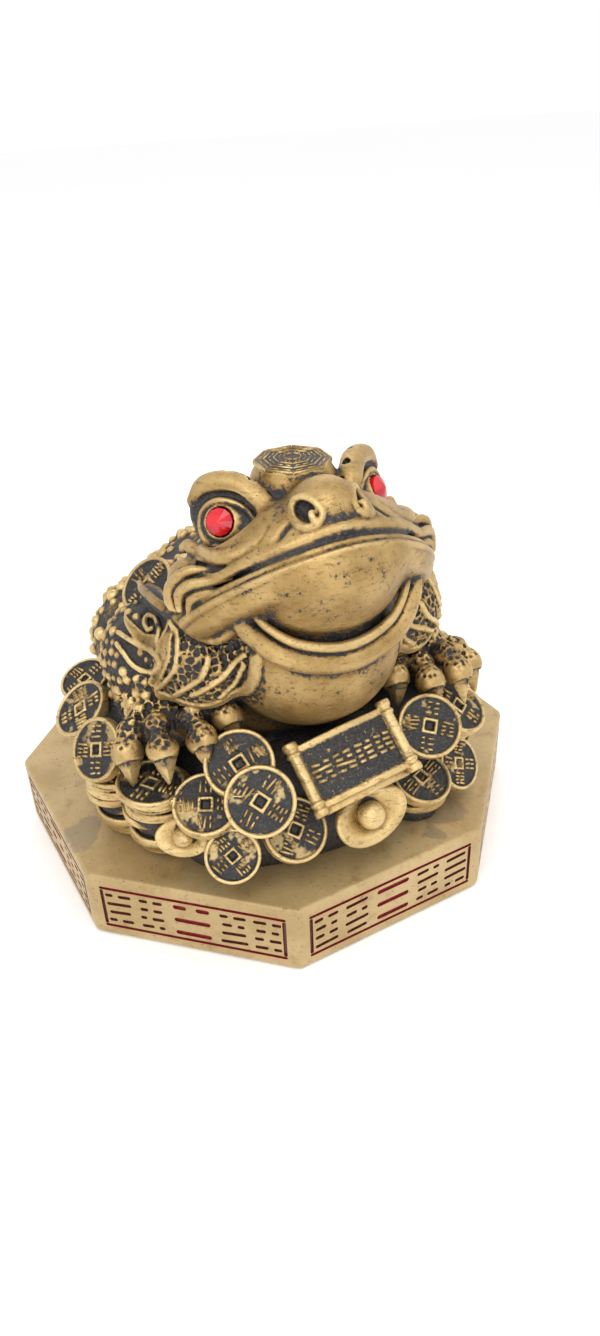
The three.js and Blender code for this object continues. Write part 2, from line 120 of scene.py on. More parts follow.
class Clay:
    """A grid of distances to a surface, in millimetres."""

    def __init__(self, low, high):
        self.low = np.array(low, float)
        self.size = [int(math.ceil((h - b) / PITCH)) + 1 for b, h in zip(low, high)]
        self.field = np.full(self.size, FAR, np.float32)
        self.smooth = self.field

    def window(self, low, high, spare):
        first = [max(0, int((low[k] - spare - self.low[k]) / PITCH)) for k in range(3)]
        last = [min(self.size[k], int((high[k] + spare - self.low[k]) / PITCH) + 2) for k in range(3)]
        part = tuple(slice(a, max(a, b)) for a, b in zip(first, last))
        axes = [self.low[k] + PITCH * np.arange(part[k].start, part[k].stop) for k in range(3)]
        return part, np.meshgrid(*[a.astype(np.float32) for a in axes], indexing="ij", sparse=True)

    def add(self, shape, blend=0.6):
        """Joins a shape, which is two corners of the box it reaches and its rule."""
        part, points = self.window(shape[0], shape[1], blend + 1.5)
        if min(self.field[part].shape) > 0:
            self.field[part] = soft_min(self.field[part], shape[2](*points), blend)

    def cut(self, shape, blend=0.6):
        part, points = self.window(shape[0], shape[1], blend + 1.5)
        if min(self.field[part].shape) > 0:
            self.field[part] = soft_max(self.field[part], -shape[2](*points), blend)

    def raise_skin(self, low, high, height, depth=2.0):
        """Moves the skin out by height(points), for the points of the grid close to it."""
        part, (x, y, z) = self.window(low, high, 0)
        field = self.field[part]
        near = np.nonzero(np.abs(field) < depth)
        points = np.stack([x[near[0], 0, 0], y[0, near[1], 0], z[0, 0, near[2]]], axis=-1)
        if len(points):
            field[near] -= height(points).astype(np.float32)

    def keep_smooth(self):
        """Remembers the skin as it is now, so that later carving can be measured against it."""
        self.smooth = self.field.copy()

    def read(self, points, grid=None):
        """The grid's value at any points, mixed from the eight corners around each."""
        grid = self.field if grid is None else grid
        place = (np.asarray(points, float) - self.low) / PITCH
        place = np.clip(place, 0, np.array(grid.shape) - 1.001)
        cell = place.astype(int)
        part = place - cell
        total = 0
        for corner in np.ndindex(2, 2, 2):
            weight = np.prod(np.where(corner, part, 1 - part), axis=-1)
            at = cell + corner
            total = total + weight * grid[at[..., 0], at[..., 1], at[..., 2]]
        return total

    def slope(self, points):
        """The way out of the clay at any points."""
        step = 0.6 * PITCH
        parts = [self.read(points + step * e) - self.read(points - step * e) for e in np.eye(3)]
        slope = np.stack(parts, axis=-1) / (2 * step)
        return slope / np.maximum(np.linalg.norm(slope, axis=-1, keepdims=True), 1e-6)

    def settle(self, points, sink=0.0, rounds=8):
        """Moves points along the slope until they lie on the surface, or sink below it."""
        points = np.array(points, float)
        for _ in range(rounds):
            step = np.clip(self.read(points) + sink, -2, 2)
            points = points - step[..., None] * self.slope(points)
        return points


print("clay pitch", PITCH, "mm")

# %% [markdown]
# ## Aims and angles
# The eyes look aside, the coins lean on the heap and the mouth opens in a tilted plane. Such a form
# is made upright in coordinates of its own and then turned by a matrix, which is easier than placing
# every point of it askew. The three columns of the matrix are the form's own directions.

# %% Turn and aim forms
def turned(tip=0.0, turn=0.0):
    a, b = math.radians(tip), math.radians(turn)
    about_x = np.array([[1, 0, 0], [0, math.cos(a), -math.sin(a)], [0, math.sin(a), math.cos(a)]])
    about_z = np.array([[math.cos(b), -math.sin(b), 0], [math.sin(b), math.cos(b), 0], [0, 0, 1]])
    return about_z @ about_x


def local(matrix, centre, x, y, z):
    """Coordinates along the columns of a turning matrix, from a centre."""
    x, y, z = x - centre[0], y - centre[1], z - centre[2]
    return [matrix[0, k] * x + matrix[1, k] * y + matrix[2, k] * z for k in range(3)]


def facing(faces, spin):
    """A turning matrix whose third column points along faces, like the frame's coins."""
    w = np.array(faces, float) / np.linalg.norm(faces)
    axis = np.cross((0, 0, 1), w)
    s, c = np.linalg.norm(axis), w[2]
    if s < 1e-6:
        tilt = np.eye(3)
    else:
        k = axis / s
        cross = np.array([[0, -k[2], k[1]], [k[2], 0, -k[0]], [-k[1], k[0], 0]])
        tilt = np.eye(3) + s * cross + (1 - c) * cross @ cross
    return tilt @ turned(turn=math.degrees(spin))


print("a coin that leans ahead points along", np.round(facing((0, -1, 1), 0)[:, 2], 2))

# %% [markdown]
# ## Balls and bars
# Nearly the whole toad can be made from two forms. A ball, stretched and tipped, makes belly, eyes
# and warts. A bar is a roll of clay: it follows a smooth path through a few points and changes its
# thickness on the way, and makes brows, lips, toes and folds. A curve with a bevel would look alike,
# but it wouldn't melt into the forms beside it.

# %% Define the ball
def ball(centre, radii, matrix=None):
    centre = np.array(centre, float)
    a, b, c = np.broadcast_to(np.array(radii, float), 3)
    matrix = np.eye(3) if matrix is None else matrix
    half = np.linalg.norm(matrix * np.array([a, b, c]), axis=1)

    def distance(x, y, z):
        u, v, w = local(matrix, centre, x, y, z)
        outer = np.sqrt((u / a) ** 2 + (v / b) ** 2 + (w / c) ** 2)
        inner = np.sqrt((u / a**2) ** 2 + (v / b**2) ** 2 + (w / c**2) ** 2)
        return outer * (outer - 1) / np.maximum(inner, 1e-6)

    return centre - half, centre + half, distance


print("an egg 6 mm high about z 10 starts at z", ball((0, 0, 10), (2, 2, 3))[0][2])


# %% Define the bar
def smooth_path(points, step=1.2):
    """Points about a step apart on a curve through the given ones, and their share of the way."""
    points = np.array(points, float)
    ends = np.vstack([2 * points[0] - points[1], points, 2 * points[-1] - points[-2]])
    path, share = [], []
    for k in range(1, len(ends) - 2):
        a, b, c, d = ends[k - 1 : k + 3]
        count = max(2, int(np.linalg.norm(c[:3] - b[:3]) / step))
        for t in np.arange(count) / count:
            path.append(
                b + 0.5 * t * (c - a + t * (2 * a - 5 * b + 4 * c - d + t * (3 * (b - c) + d - a)))
            )
            share.append(k - 1 + t)
    return np.array(path + [points[-1]]), np.array(share + [len(points) - 1.0])


def bar(points, radii, step=1.2):
    path, share = smooth_path(points, step)
    widths = np.interp(share, np.arange(len(radii)), radii)
    wide = widths.max()

    def distance(x, y, z):
        near = np.full(np.broadcast_shapes(x.shape, y.shape, z.shape), FAR, np.float32)
        axes = [x.ravel(), y.ravel(), z.ravel()]
        for a, b, ra, rb in zip(path, path[1:], widths, widths[1:]):
            spare = max(ra, rb) + 3.5
            part = []
            for k, axis in enumerate(axes):
                start = np.searchsorted(axis, min(a[k], b[k]) - spare)
                part.append(slice(start, max(start, np.searchsorted(axis, max(a[k], b[k]) + spare))))
            p = [x[part[0], :, :], y[:, part[1], :], z[:, :, part[2]]]
            along = b - a
            t = sum((p[k] - a[k]) * along[k] for k in range(3)) / max(along @ along, 1e-9)
            t = np.clip(t, 0, 1)
            off = sum((p[k] - a[k] - t * along[k]) ** 2 for k in range(3))
            part = tuple(part)
            near[part] = np.minimum(near[part], np.sqrt(off) - ra - t * (rb - ra))
        return near

    return path.min(axis=0) - wide, path.max(axis=0) + wide, distance


ARCH = [(0, 0, 0), (5, 0, 4), (9, 0, 4), (12, 0, 0)]
print("a roll of clay through", len(ARCH), "points has", len(smooth_path(ARCH)[0]), "steps")

# %% [markdown]
# ## The trunk
# Belly, throat, back, haunches and arms are balls that flow into each other. They are the same as
# in the measured frame, so that the outline stays the same. The toad is alike on both sides, so it
# is modelled for x from 0 up and mirrored later.

# %% Press the trunk
LOW = (-66.0, -72.0, -1.5)
HIGH = (66.0, 62.0, 102.5)
half_toad = Clay((-3.0, LOW[1], LOW[2]), HIGH)
TRUNK = [
    ((0, -32.8, 54.5), (24.3, 24.3, 24.3)),
    ((0, -40, 75.5), (21, 20, 15.5)),
    ((0, 0, 39), (38, 40, 32)),
    ((25, 24, 30), (19, 20, 19)),
    ((33.5, -13.5, 46), (15.5, 17.5, 15.5)),
    ((26.5, -28, 53), (13.5, 14.5, 14.5)),
]
for centre, radii in TRUNK:
    half_toad.add(ball(centre, radii), 3)
print("trunk of", len(TRUNK), "balls, of which", sum(c[0] > 0 for c, _ in TRUNK), "are mirrored")

# %% [markdown]
# ## The head
# The mouth opens in a plane that rises to the front. Above it lies the skull and below it the jaw.
# A plain ball would give a round mouth, so each half is a flattened ball whose rim comes to a soft
# point at the snout, as the real one's does when seen from above.

# %% Press skull and jaw
MOUTH_TIP = -43
MOUTH_POINT = 1.6
MOUTH = turned(MOUTH_TIP)
SKULL = ((0, -32.2, 71), (32.5, 31.5, 17.5))
JAW = ((0, -36.5, 66.5), (33, 32, 2))


def mouth_half(centre, radii, under):
    """A half of the head: radii are across, ahead and up, and under is the depth below the rim."""
    centre = np.array(centre, float)
    a, b, over = radii

    def distance(x, y, z):
        u, v, w = local(MOUTH, centre, x, y, z)
        u, v = np.abs(u) / a + 1e-4, np.abs(v) / b + 1e-4
        tall = np.where(w < 0, under, over)
        rim = (u**MOUTH_POINT + v**MOUTH_POINT) ** (1 / MOUTH_POINT)
        size = np.sqrt(rim**2 + (w / tall) ** 2)
        lean = (rim / size) * rim ** (1 - MOUTH_POINT)
        steep = (lean * u ** (MOUTH_POINT - 1) / a) ** 2 + (lean * v ** (MOUTH_POINT - 1) / b) ** 2
        steep = np.sqrt(steep + (w / tall**2 / size) ** 2)
        return (size - 1) / np.maximum(steep, 1e-3)

    half = np.linalg.norm(MOUTH * np.array([a, b, max(over, under)]), axis=1)
    return centre - half, centre + half, distance


half_toad.add(mouth_half(*SKULL, under=4), 1.2)
half_toad.add(mouth_half(*JAW, under=9), 1.2)
print("skull", 2 * SKULL[1][0], "mm wide, mouth tipped by", MOUTH_TIP, "degrees")

# %% Press dome and nose
DOME = ((0, -28.8, 91.2), 10.9)
NOSE = ((0, -46, 91), (9.5, 9, 8.3))
half_toad.add(ball(*DOME), 1.2)
half_toad.add(ball(*NOSE, MOUTH), 2)
half_toad.add(bar([(0, -39, 90.5), (0, -45, 94)], [6, 5]), 3)
print("the dome's top is at", round(DOME[0][2] + DOME[1], 1), "mm")

# %% [markdown]
# ## Brows and eyes
# A heavy brow arches over each eye and comes down in front of it. The socket is cut as a hollow,
# and an eyeball drawn out towards the nose fills it, so a dark gap stays all round. The gem sits in a
# round seat, which is cut at the very end so that nothing melts into it.

# %% Press brow and eyeball
EYE = np.array([17.6, -29.2, 86.6])
EYE_RADIUS = 6.2
GAZE = np.array([0.57, -0.72, 0.4]) / np.linalg.norm([0.57, -0.72, 0.4])
TO_NOSE = np.cross(GAZE, (0, 0, 1))
TO_NOSE /= np.linalg.norm(TO_NOSE)
TO_BROW = np.cross(TO_NOSE, GAZE)
EYE_FRAME = np.stack([TO_NOSE, TO_BROW, GAZE], axis=1)


def on_eye(nose, brow, out):
    return EYE + EYE_FRAME @ np.array([nose, brow, out])


BROW = [(9.5, -39, 90), (12, -35, 93.5), (16, -28.7, 95.3), (20.7, -24.5, 93), (22.3, -24, 87),
        (21.5, -26, 82)]
CHEEKBONE = [(12, -37.5, 86.5), (17.5, -38, 82), (24, -33, 80.5), (27, -27, 82)]
half_toad.add(bar(BROW, [1.7, 2.9, 3.2, 3.2, 2.8, 2.1]), 1.5)
half_toad.add(bar(CHEEKBONE, [1.4, 2, 2.3, 1.8]), 1.5)
half_toad.add(ball(EYE, EYE_RADIUS + 0.9), 1.5)
half_toad.cut(ball(on_eye(1.4, -0.2, 6.5), (8.4, 6.4, 4.2), EYE_FRAME), 0.8)
half_toad.add(ball(on_eye(1.2, -0.3, 0), (7.6, 5.6, 6.1), EYE_FRAME), 0.2)
half_toad.add(ball(EYE, EYE_RADIUS), 0.4)
print("eye looks along", np.round(GAZE, 2), "and the way to the nose is", np.round(TO_NOSE, 2))

# %% [markdown]
# ## Lids and bags
# The brow's front is a second bar, and a groove parts it from a thin lid that runs round the eye.
# These three are bars in the eye's own directions, so they keep their even distance from the gem.
# Below, a soft bag ends in a crease that runs on to the nose, and both are laid on the face itself.

# %% Press lids and bags
BROW_FRONT = [(9.5, 3.8, 3.4), (6, 7.8, 3.4), (0.8, 9.0, 3.0), (-4.6, 8.1, 2.2), (-8, 4.4, 1.4)]
half_toad.add(bar([on_eye(*p) for p in BROW_FRONT], [1.2, 2.3, 2.6, 2.6, 2.0]), 0.8)
BROW_GAP = [(8.8, 1.8, 4.2), (5.8, 5.2, 4.9), (0.8, 6.2, 4.9), (-4.2, 5.3, 4.2), (-6.8, 2, 3.2)]
half_toad.cut(bar([on_eye(*p) for p in BROW_GAP], [0.7, 1.1, 1.0, 0.8, 0.5]), 0.3)
LID = [(8.6, -1.6, 3.3), (6.5, 2.5, 4.4), (2.6, 4.6, 4.8), (-1.8, 4.7, 4.4), (-5.1, 2.2, 3.6),
       (-5.3, -2, 3.2), (-2.9, -5, 3.8), (1.8, -5.8, 4.4), (6, -4.5, 4.2), (8.6, -1.6, 3.3)]
half_toad.add(bar([on_eye(*p) for p in LID], [0.7, 0.7, 0.8, 0.8, 0.8, 0.8, 0.8, 0.8, 0.7, 0.7]), 0.3)
EYE_BAG = [(25.4, -32.5, 82.6), (25.2, -37.4, 83.2), (24, -41.2, 83.8), (21.9, -43.3, 84.6),
           (19.6, -45, 86), (17.3, -46, 88.2)]
half_toad.add(bar(EYE_BAG, [1.0, 1.7, 2.0, 2.0, 1.6, 0.8]), 0.5)
BAG_CREASE = [(27.2, -33.7, 80.3), (26.6, -39.9, 81.4), (24, -43.8, 82.2), (21, -46, 84),
              (18.5, -47.2, 86.2), (16.2, -47.8, 88.6), (13.6, -46.6, 91)]
half_toad.cut(bar(BAG_CREASE, [0.5, 0.8, 0.8, 0.7, 0.5, 0.4, 0.2]), 1.2)
print("lid of", len(LID), "points, bag of", len(EYE_BAG), "and crease of", len(BAG_CREASE))

# %% [markdown]
# ## Nostrils
# The nostril is a drop-shaped loop round a dark hollow, with a small curl at its lower end. Cutting
# the hollow first and laying the loop as a thin bar keeps its edge crisp. A swelling between nose and
# lip ends in a short crease.

# %% Press the nostrils
half_toad.cut(ball((6.7, -50, 95.2), (2.1, 3.4, 2.6)), 0.6)
NOSTRIL = [(8.9, -47, 93.2), (7.8, -46, 95.8), (6.3, -47.6, 97.2), (4.7, -50.4, 96.9), (4, -53.2, 94.9),
           (5.6, -54, 93.3), (8, -52.6, 92.3), (9.2, -50, 92.4), (8.9, -47, 93.2)]
NOSTRIL_CURL = [(5.6, -54, 93.3), (6.4, -53.2, 94.4), (6.2, -52.2, 95.2), (5.3, -52, 95)]
UNDER_NOSE = [(11, -48.5, 90.6), (7, -52.8, 90.6), (3, -55, 91.2), (0, -55.8, 91.6)]
half_toad.add(bar(NOSTRIL, [0.8], 0.8), 0.3)
half_toad.add(bar(NOSTRIL_CURL, [0.8, 0.8, 0.7, 0.5], 0.6), 0.3)
half_toad.add(bar(UNDER_NOSE, [1, 1.4, 1.6, 1.6]), 1.2)
half_toad.cut(bar([(13.7, -51, 88.7), (12.3, -50.2, 90.4), (10.6, -49.8, 91.8)], [0.5, 0.7, 0.5]), 1.6)
print("nostril loop of", len(NOSTRIL), "points, 1.6 mm thick")

# %% [markdown]
# ## Lips
# The throat bulges out between the jaws like a ball, so it is one. The upper lip is a soft ridge on
# the skull's rim, and two thin ridges run along the jaw's rim as the lower lip. They could be drawn
# by eye, but points taken from the rim's own rule follow it exactly.

# %% Press throat ball and lips
def mouth_rim(centre, radii, degrees, lift=0.0, grow=0.0):
    """A point on the rim of a mouth half: -90 degrees is the snout, 0 the side."""
    c, s = math.cos(math.radians(degrees)), math.sin(math.radians(degrees))
    u = math.copysign(abs(c) ** (2 / MOUTH_POINT), c) * (radii[0] + grow)
    v = math.copysign(abs(s) ** (2 / MOUTH_POINT), s) * (radii[1] + grow)
    return np.array(centre) + MOUTH @ np.array([u, v, lift])


half_toad.add(ball((0, -43.8, 80.3), (20.5, 18, 12.6)), 2.5)
under_lip = [mouth_rim(*JAW, a, lift=-1.6, grow=-3.6) for a in range(-50, 1, 10)]
half_toad.add(bar(under_lip, [1.2, 1.8, 2.2, 2.2, 2, 1.6]), 3)
upper_lip = [mouth_rim(*SKULL, a, lift=-0.9, grow=-0.7) for a in range(-90, 1, 10)]
half_toad.add(bar(upper_lip, [1.1]), 1.2)
lower_lip = [mouth_rim(*JAW, a, lift=2.1, grow=-1.2) for a in range(-90, 1, 10)]
half_toad.add(bar(lower_lip, [1.1] * 9 + [1.5]), 0.4)
second_lip = [mouth_rim(*JAW, a, lift=0.4, grow=-0.2) for a in range(-90, 1, 10)]
half_toad.add(bar(second_lip, [0.8, 0.8, 0.8, 0.9, 0.9, 0.9, 1, 1.1, 1.3, 1.4]), 0.3)
print("lips of", len(lower_lip), "points, snout at", np.round(mouth_rim(*SKULL, -90), 1))

# %% [markdown]
# ## Cheek folds, jowl and strap
# Where the mouth ends, the skin is pushed into three folds that hang over each other like gills.
# Below them a jowl follows the jaw, and a flat strap of skin runs back over the shoulder. A fat bar
# under the strap fills the gap behind it, because the real casting is solid there.

# %% Press folds, jowl and strap
FOLDS = [
    ([(25, -40.6, 81), (29.6, -37, 80.2), (32.1, -35.8, 78.8), (33.9, -33.8, 75.6),
      (34.7, -34.4, 72.4), (34.3, -36, 70.2)], [0.4, 1.3, 1.6, 1.7, 1.5, 0.9]),
    ([(23, -45.6, 80.4), (28.2, -41.6, 79), (31.5, -38.8, 77.6), (33.2, -37.2, 74.8),
      (33.6, -37.8, 71.6)], [0.4, 1.2, 1.4, 1.4, 0.9]),
    ([(20.5, -48.4, 79.6), (25.3, -44.6, 77.3), (28.8, -41.6, 76.2), (31.2, -39.8, 74.4),
      (32, -39.9, 71.2)], [0.4, 1.1, 1.3, 1.3, 0.8]),
]
half_toad.add(ball((29.5, -32.5, 75), (4.6, 7, 5.6)), 1.5)
for path, radii in FOLDS:
    half_toad.add(bar(path, radii), 0.4)
JOWL = [(32, -33.8, 66), (29.8, -38, 64), (26.6, -41.2, 63.6), (24, -44.8, 67), (22, -48.6, 72)]
half_toad.add(bar(JOWL, [1.2, 1.5, 1.6, 1.4, 0.8]), 0.5)
STRAP = [(34, -1, 61.8), (35.7, -11, 65.6), (36.3, -21, 68), (35.4, -29, 68.6), (32.6, -34.4, 66.6)]
half_toad.add(bar([(x - 2.4, y, z - 2.6) for x, y, z in STRAP], [2, 3, 3.2, 3, 2]), 1.5)
half_toad.add(bar(STRAP, [1.4, 2, 2.1, 2, 1.5]), 0.3)
print(len(FOLDS), "cheek folds, strap of", len(STRAP), "points")

# %% [markdown]
# ## Throat folds
# Under the throat runs a thick fold like a smile, with a second thinner one inside it. Carving two
# grooves would do as well, but raised rolls catch the light as the real ones do. The soft join
# leaves the crease between them.

# %% Press the throat folds
def mirror(points):
    return [(-p[0], *p[1:]) for p in points]


ROLL = [(0, -57, 59), (13, -54.5, 61.5), (21, -49.5, 67.5), (23.5, -45, 74)]
half_toad.add(bar(mirror(ROLL[1:2]) + ROLL, [2.8, 2.9, 2.8, 2.4, 1.6]), 0.8)
INNER_ROLL = [(0, -57.6, 63.2), (11.5, -55.4, 65.4), (18.6, -50.6, 70.5), (21, -46.5, 76)]
half_toad.add(bar(mirror(INNER_ROLL[1:2]) + INNER_ROLL, [1.2, 1.3, 1.2, 1, 0.6]), 0.5)
print("smile fold from", ROLL[-1], "to the middle", ROLL[0])

# %% [markdown]
# ## Two sides from one
# So far only half a toad is there. A mirror modifier works on meshes, and this is still a grid, so
# the second half is read from the first one by the distance from the middle line.

# %% Mirror the half
toad = Clay(LOW, HIGH)
columns = np.abs(toad.low[0] + PITCH * np.arange(toad.size[0]))
place = np.clip((columns - half_toad.low[0]) / PITCH, 0, half_toad.size[0] - 1.001)
cell = place.astype(int)
part = (place - cell).astype(np.float32)[:, None, None]
toad.field = half_toad.field[cell] * (1 - part) + half_toad.field[cell + 1] * part
print("the whole toad's grid has", toad.size, "points")

# %% [markdown]
# ## Front paws
# Each paw has a wrist, a palm and four toes with a thick knuckle, a bulb and a stout claw that grows
# out of a hollow. The paw on the toad's left sits a little lower and closer in, so the paws are
# pressed after mirroring. The claws have flat sides and a point, which no ball or bar gives, so they
# get a rule of their own.

# %% Define the claw
TOES = [
    ((48, -31, 37.5), (50.2, -34.5, 34.8), (50.8, -37.8, 26.6)),
    ((42, -35.5, 40.5), (42.8, -40.8, 37.8), (43.2, -44, 29.1)),
    ((34, -36, 39.5), (33.2, -42.3, 38.2), (33, -46, 31)),
    ((27.5, -33.5, 40), (24.8, -38, 39.5), (23.8, -41, 32.2)),
]
PALM = np.array([38.5, -27, 35])
LEFT_SHIFT = np.array([-1.5, 0, -2.5])
CLAW_HALF = 2.5
SHEATH = (3.2, 3.2, 3.6)


def sheath(bulb, tip):
    """The middle of the hollow that a claw grows out of."""
    return bulb + 0.5 * (tip - bulb) + np.array([0, -1.6, 0])


def claw_line(bulb, tip):
    """Where a claw starts inside its bulb, and where it ends."""
    return bulb + 0.1 * (tip - bulb) + np.array([0, -0.8, 0]), tip + np.array([0, -1, -0.6])


def claw(root, tip):
    """A stout claw with four flat sides that meet in a point."""
    length = np.linalg.norm(tip - root)
    matrix = facing(tip - root, math.pi / 4)

    def distance(x, y, z):
        u, v, w = np.broadcast_arrays(*local(matrix, root, x, y, z))
        share = np.clip(w / length, 0, 1)
        side = CLAW_HALF * (1 - 0.9 * share**1.4)
        beside = 0.8 * (np.maximum(np.abs(u), np.abs(v)) - side)
        return soft_max(beside, np.abs(w - length / 2) - length / 2, 0.4)

    reach = CLAW_HALF * 1.5
    return np.minimum(root, tip) - reach, np.maximum(root, tip) + reach, distance


print("claws", 2 * CLAW_HALF, "mm thick at the root, for", len(TOES), "toes on each paw")


# %% Press the front limbs
def press_limb(side, shift):
    """One front limb: side is 1 on the toad's left and -1 on its right."""
    flip = np.array([side, 1, 1])

    def at(p):
        return (np.array(p, float) + shift) * flip

    toad.add(ball(at(PALM), (10.5, 9, 7.5)), 1.5)
    toad.add(bar([at((38, -14, 40)), at((39, -25, 37))], [10, 8]), 1.2)
    for knuckle, bulb, tip in TOES:
        knuckle, bulb, tip = [np.array(p, float) for p in (knuckle, bulb, tip)]
        root = knuckle + 0.45 * (PALM - knuckle)
        toad.add(bar([at(root), at(knuckle)], [3.0, 3.7]), 0.6)
        toad.add(bar([at(knuckle), at(0.5 * knuckle + 0.5 * bulb), at(bulb)], [3.5, 2.9, 3.6]), 0.3)
        toad.add(ball(at(bulb + 0.1 * (tip - bulb)), 4.1), 0.4)
        toad.cut(ball(at(sheath(bulb, tip)), SHEATH), 0.3)
        start, end = claw_line(bulb, tip)
        toad.add(claw(at(start), at(end)), 0)


press_limb(1, LEFT_SHIFT)
press_limb(-1, np.zeros(3))
print("two front limbs, the left one shifted by", LEFT_SHIFT, "mm")

# %% [markdown]
# ## The hind foot
# A money toad has three legs, and the third one comes out under the rump. The photograph hides it,
# so it is kept simple: a ball, a tapered bar and three toes.

# %% Press the hind foot
toad.add(ball((0, 38, 26), (15, 14, 15)), 2)
toad.add(bar([(0, 40, 18), (0, 50, 13), (0, 56, 8)], [7, 5.5, 3.5]), 1.5)
for side in (-1, 0, 1):
    toad.add(bar([(2 * side, 50, 11), (5 * side, 56.5 - abs(side), 6), (6 * side, 58.5 - abs(side), 2)],
                 [3, 2.6, 0.8]), 0.5)
behind = toad.low[1] + PITCH * np.nonzero((toad.field < 0).any(axis=(0, 2)))[0].max()
print("the hind foot reaches", round(float(behind), 1), "mm behind the middle")

# %% [markdown]
# ## Cell pattern for lace and nets
# The forearms, cuffs and toes carry a net of thin ridges round small pits. A bump map would look
# right only from ahead, so the pattern is carved. Seeded points in a jittered grid make cells: where
# the nearest and the second nearest point are equally far, a ridge stands, and near a point the
# skin sinks.

# %% Define the cell pattern
rng = np.random.default_rng(7)
JITTER = rng.random((24, 24, 24, 3))


def cells(points, size):
    """Distances to the nearest and second nearest cell point, in cells."""
    place = points / size
    base = np.floor(place).astype(int)
    nearest = np.full(len(points), 9.0)
    second = nearest.copy()
    for offset in np.ndindex(3, 3, 3):
        cell = base + offset - 1
        spot = cell + 0.15 + 0.7 * JITTER[cell[:, 0] % 24, cell[:, 1] % 24, cell[:, 2] % 24]
        off = np.linalg.norm(place - spot, axis=1)
        second = np.minimum(second, np.maximum(nearest, off))
        nearest = np.minimum(nearest, off)
    return nearest, second


def net(points, size, ridge=0.45, pit=0.5):
    """Heights of a net with cells of this size."""
    nearest, second = cells(points, size)
    return ridge * (1 - ramp(second - nearest, 0.06, 0.24)) - pit * (1 - ramp(nearest, 0.25, 0.55))


print("cell points", JITTER.shape[:3])

# %% [markdown]
# ## Lines on the arms
# The shoulder carries two tapered plates like flames and two thin curls behind a rim line. In front
# of it the forearm is lace over a solid lower rim, with three leaves that rise from the rim. Their
# places were read off the photograph as points near the arm.

# %% Place plates, curls and leaves
PLATE_RIM = [(33.5, -31, 66), (34.2, -35.3, 61.8), (36, -37, 56), (37.8, -34, 51), (40, -30, 46.5)]
PLATES = [
    ([(34.6, -31.5, 64.4), (35.8, -32.1, 60.4), (36.8, -33, 57.6), (38.6, -32, 52.8), (40, -29, 48.5)],
     [1.2, 2, 2.4, 1.9, 1.2]),
    ([(41.5, -11.5, 60.2), (41.3, -14.5, 58.8), (40.8, -18.2, 58.1), (39.9, -22.9, 57.6),
      (38.5, -28.8, 58.6)], [0.2, 0.7, 1.2, 1.6, 2.6]),
]
CURLS = [
    [(44.9, -17.5, 54.6), (44.5, -21.1, 53.8), (43.3, -24.1, 51.9), (41.5, -27.2, 51.1),
     (39.5, -30.6, 52.4), (38.1, -32.8, 55.8), (38.8, -30, 57), (40.6, -26.6, 56.9),
     (41.9, -21.3, 56.4), (43.7, -15.4, 56.4)],
    [(37.8, -29.9, 59.8), (36.3, -28.4, 61.8), (35.4, -22.9, 61.8), (36.2, -17.3, 60.5), (38, -19.1, 60),
     (38.1, -22.2, 59.4), (37.1, -23.8, 60.2)],
]
LACE_RIM = [(39, -30.5, 45), (35.6, -35.5, 44.8), (31, -38, 43.8), (26.3, -40.5, 45), (22, -43, 48),
            (19.6, -46, 53), (19, -46.8, 58.7)]
LEAVES = [
    [(36.6, -34.6, 46.8), (34.3, -38.4, 50.9), (30.8, -40.9, 54.5), (28.8, -40.9, 58.9)],
    [(33, -39, 48.9), (29.1, -41.6, 51.8), (25.7, -42.1, 53.7), (22.8, -42.5, 56.8), (21.1, -43.7, 58.8)],
    [(26.9, -40.7, 47.4), (23.8, -42.4, 50.2), (22.4, -43.4, 53.6), (21.6, -44.2, 56.5)],
]
print(len(PLATES), "plates,", len(CURLS), "curls and", len(LEAVES), "leaves for each arm")

# %% [markdown]
# ## Carving the arms
# Bars laid along these points would sink in at one place and float at another. So the points are
# first settled on the clay, and then the skin itself is raised near them. The lace sinks between its
# ridges, and the elbow sinks where the knobs will stand.

# %% Carve the arms
def near_path(points, path, widths=None):
    """How far each point is from a path, or from the edge of a band of changing width along it."""
    best = np.full(len(points), 99.0)
    widths = np.zeros(len(path)) if widths is None else widths
    for a, b, wa, wb in zip(path, path[1:], widths, widths[1:]):
        along = b - a
        t = np.clip((points - a) @ along / max(along @ along, 1e-9), 0, 1)
        off = np.linalg.norm(points - a - t[:, None] * along, axis=1) - wa - t * (wb - wa)
        best = np.minimum(best, off)
    return best


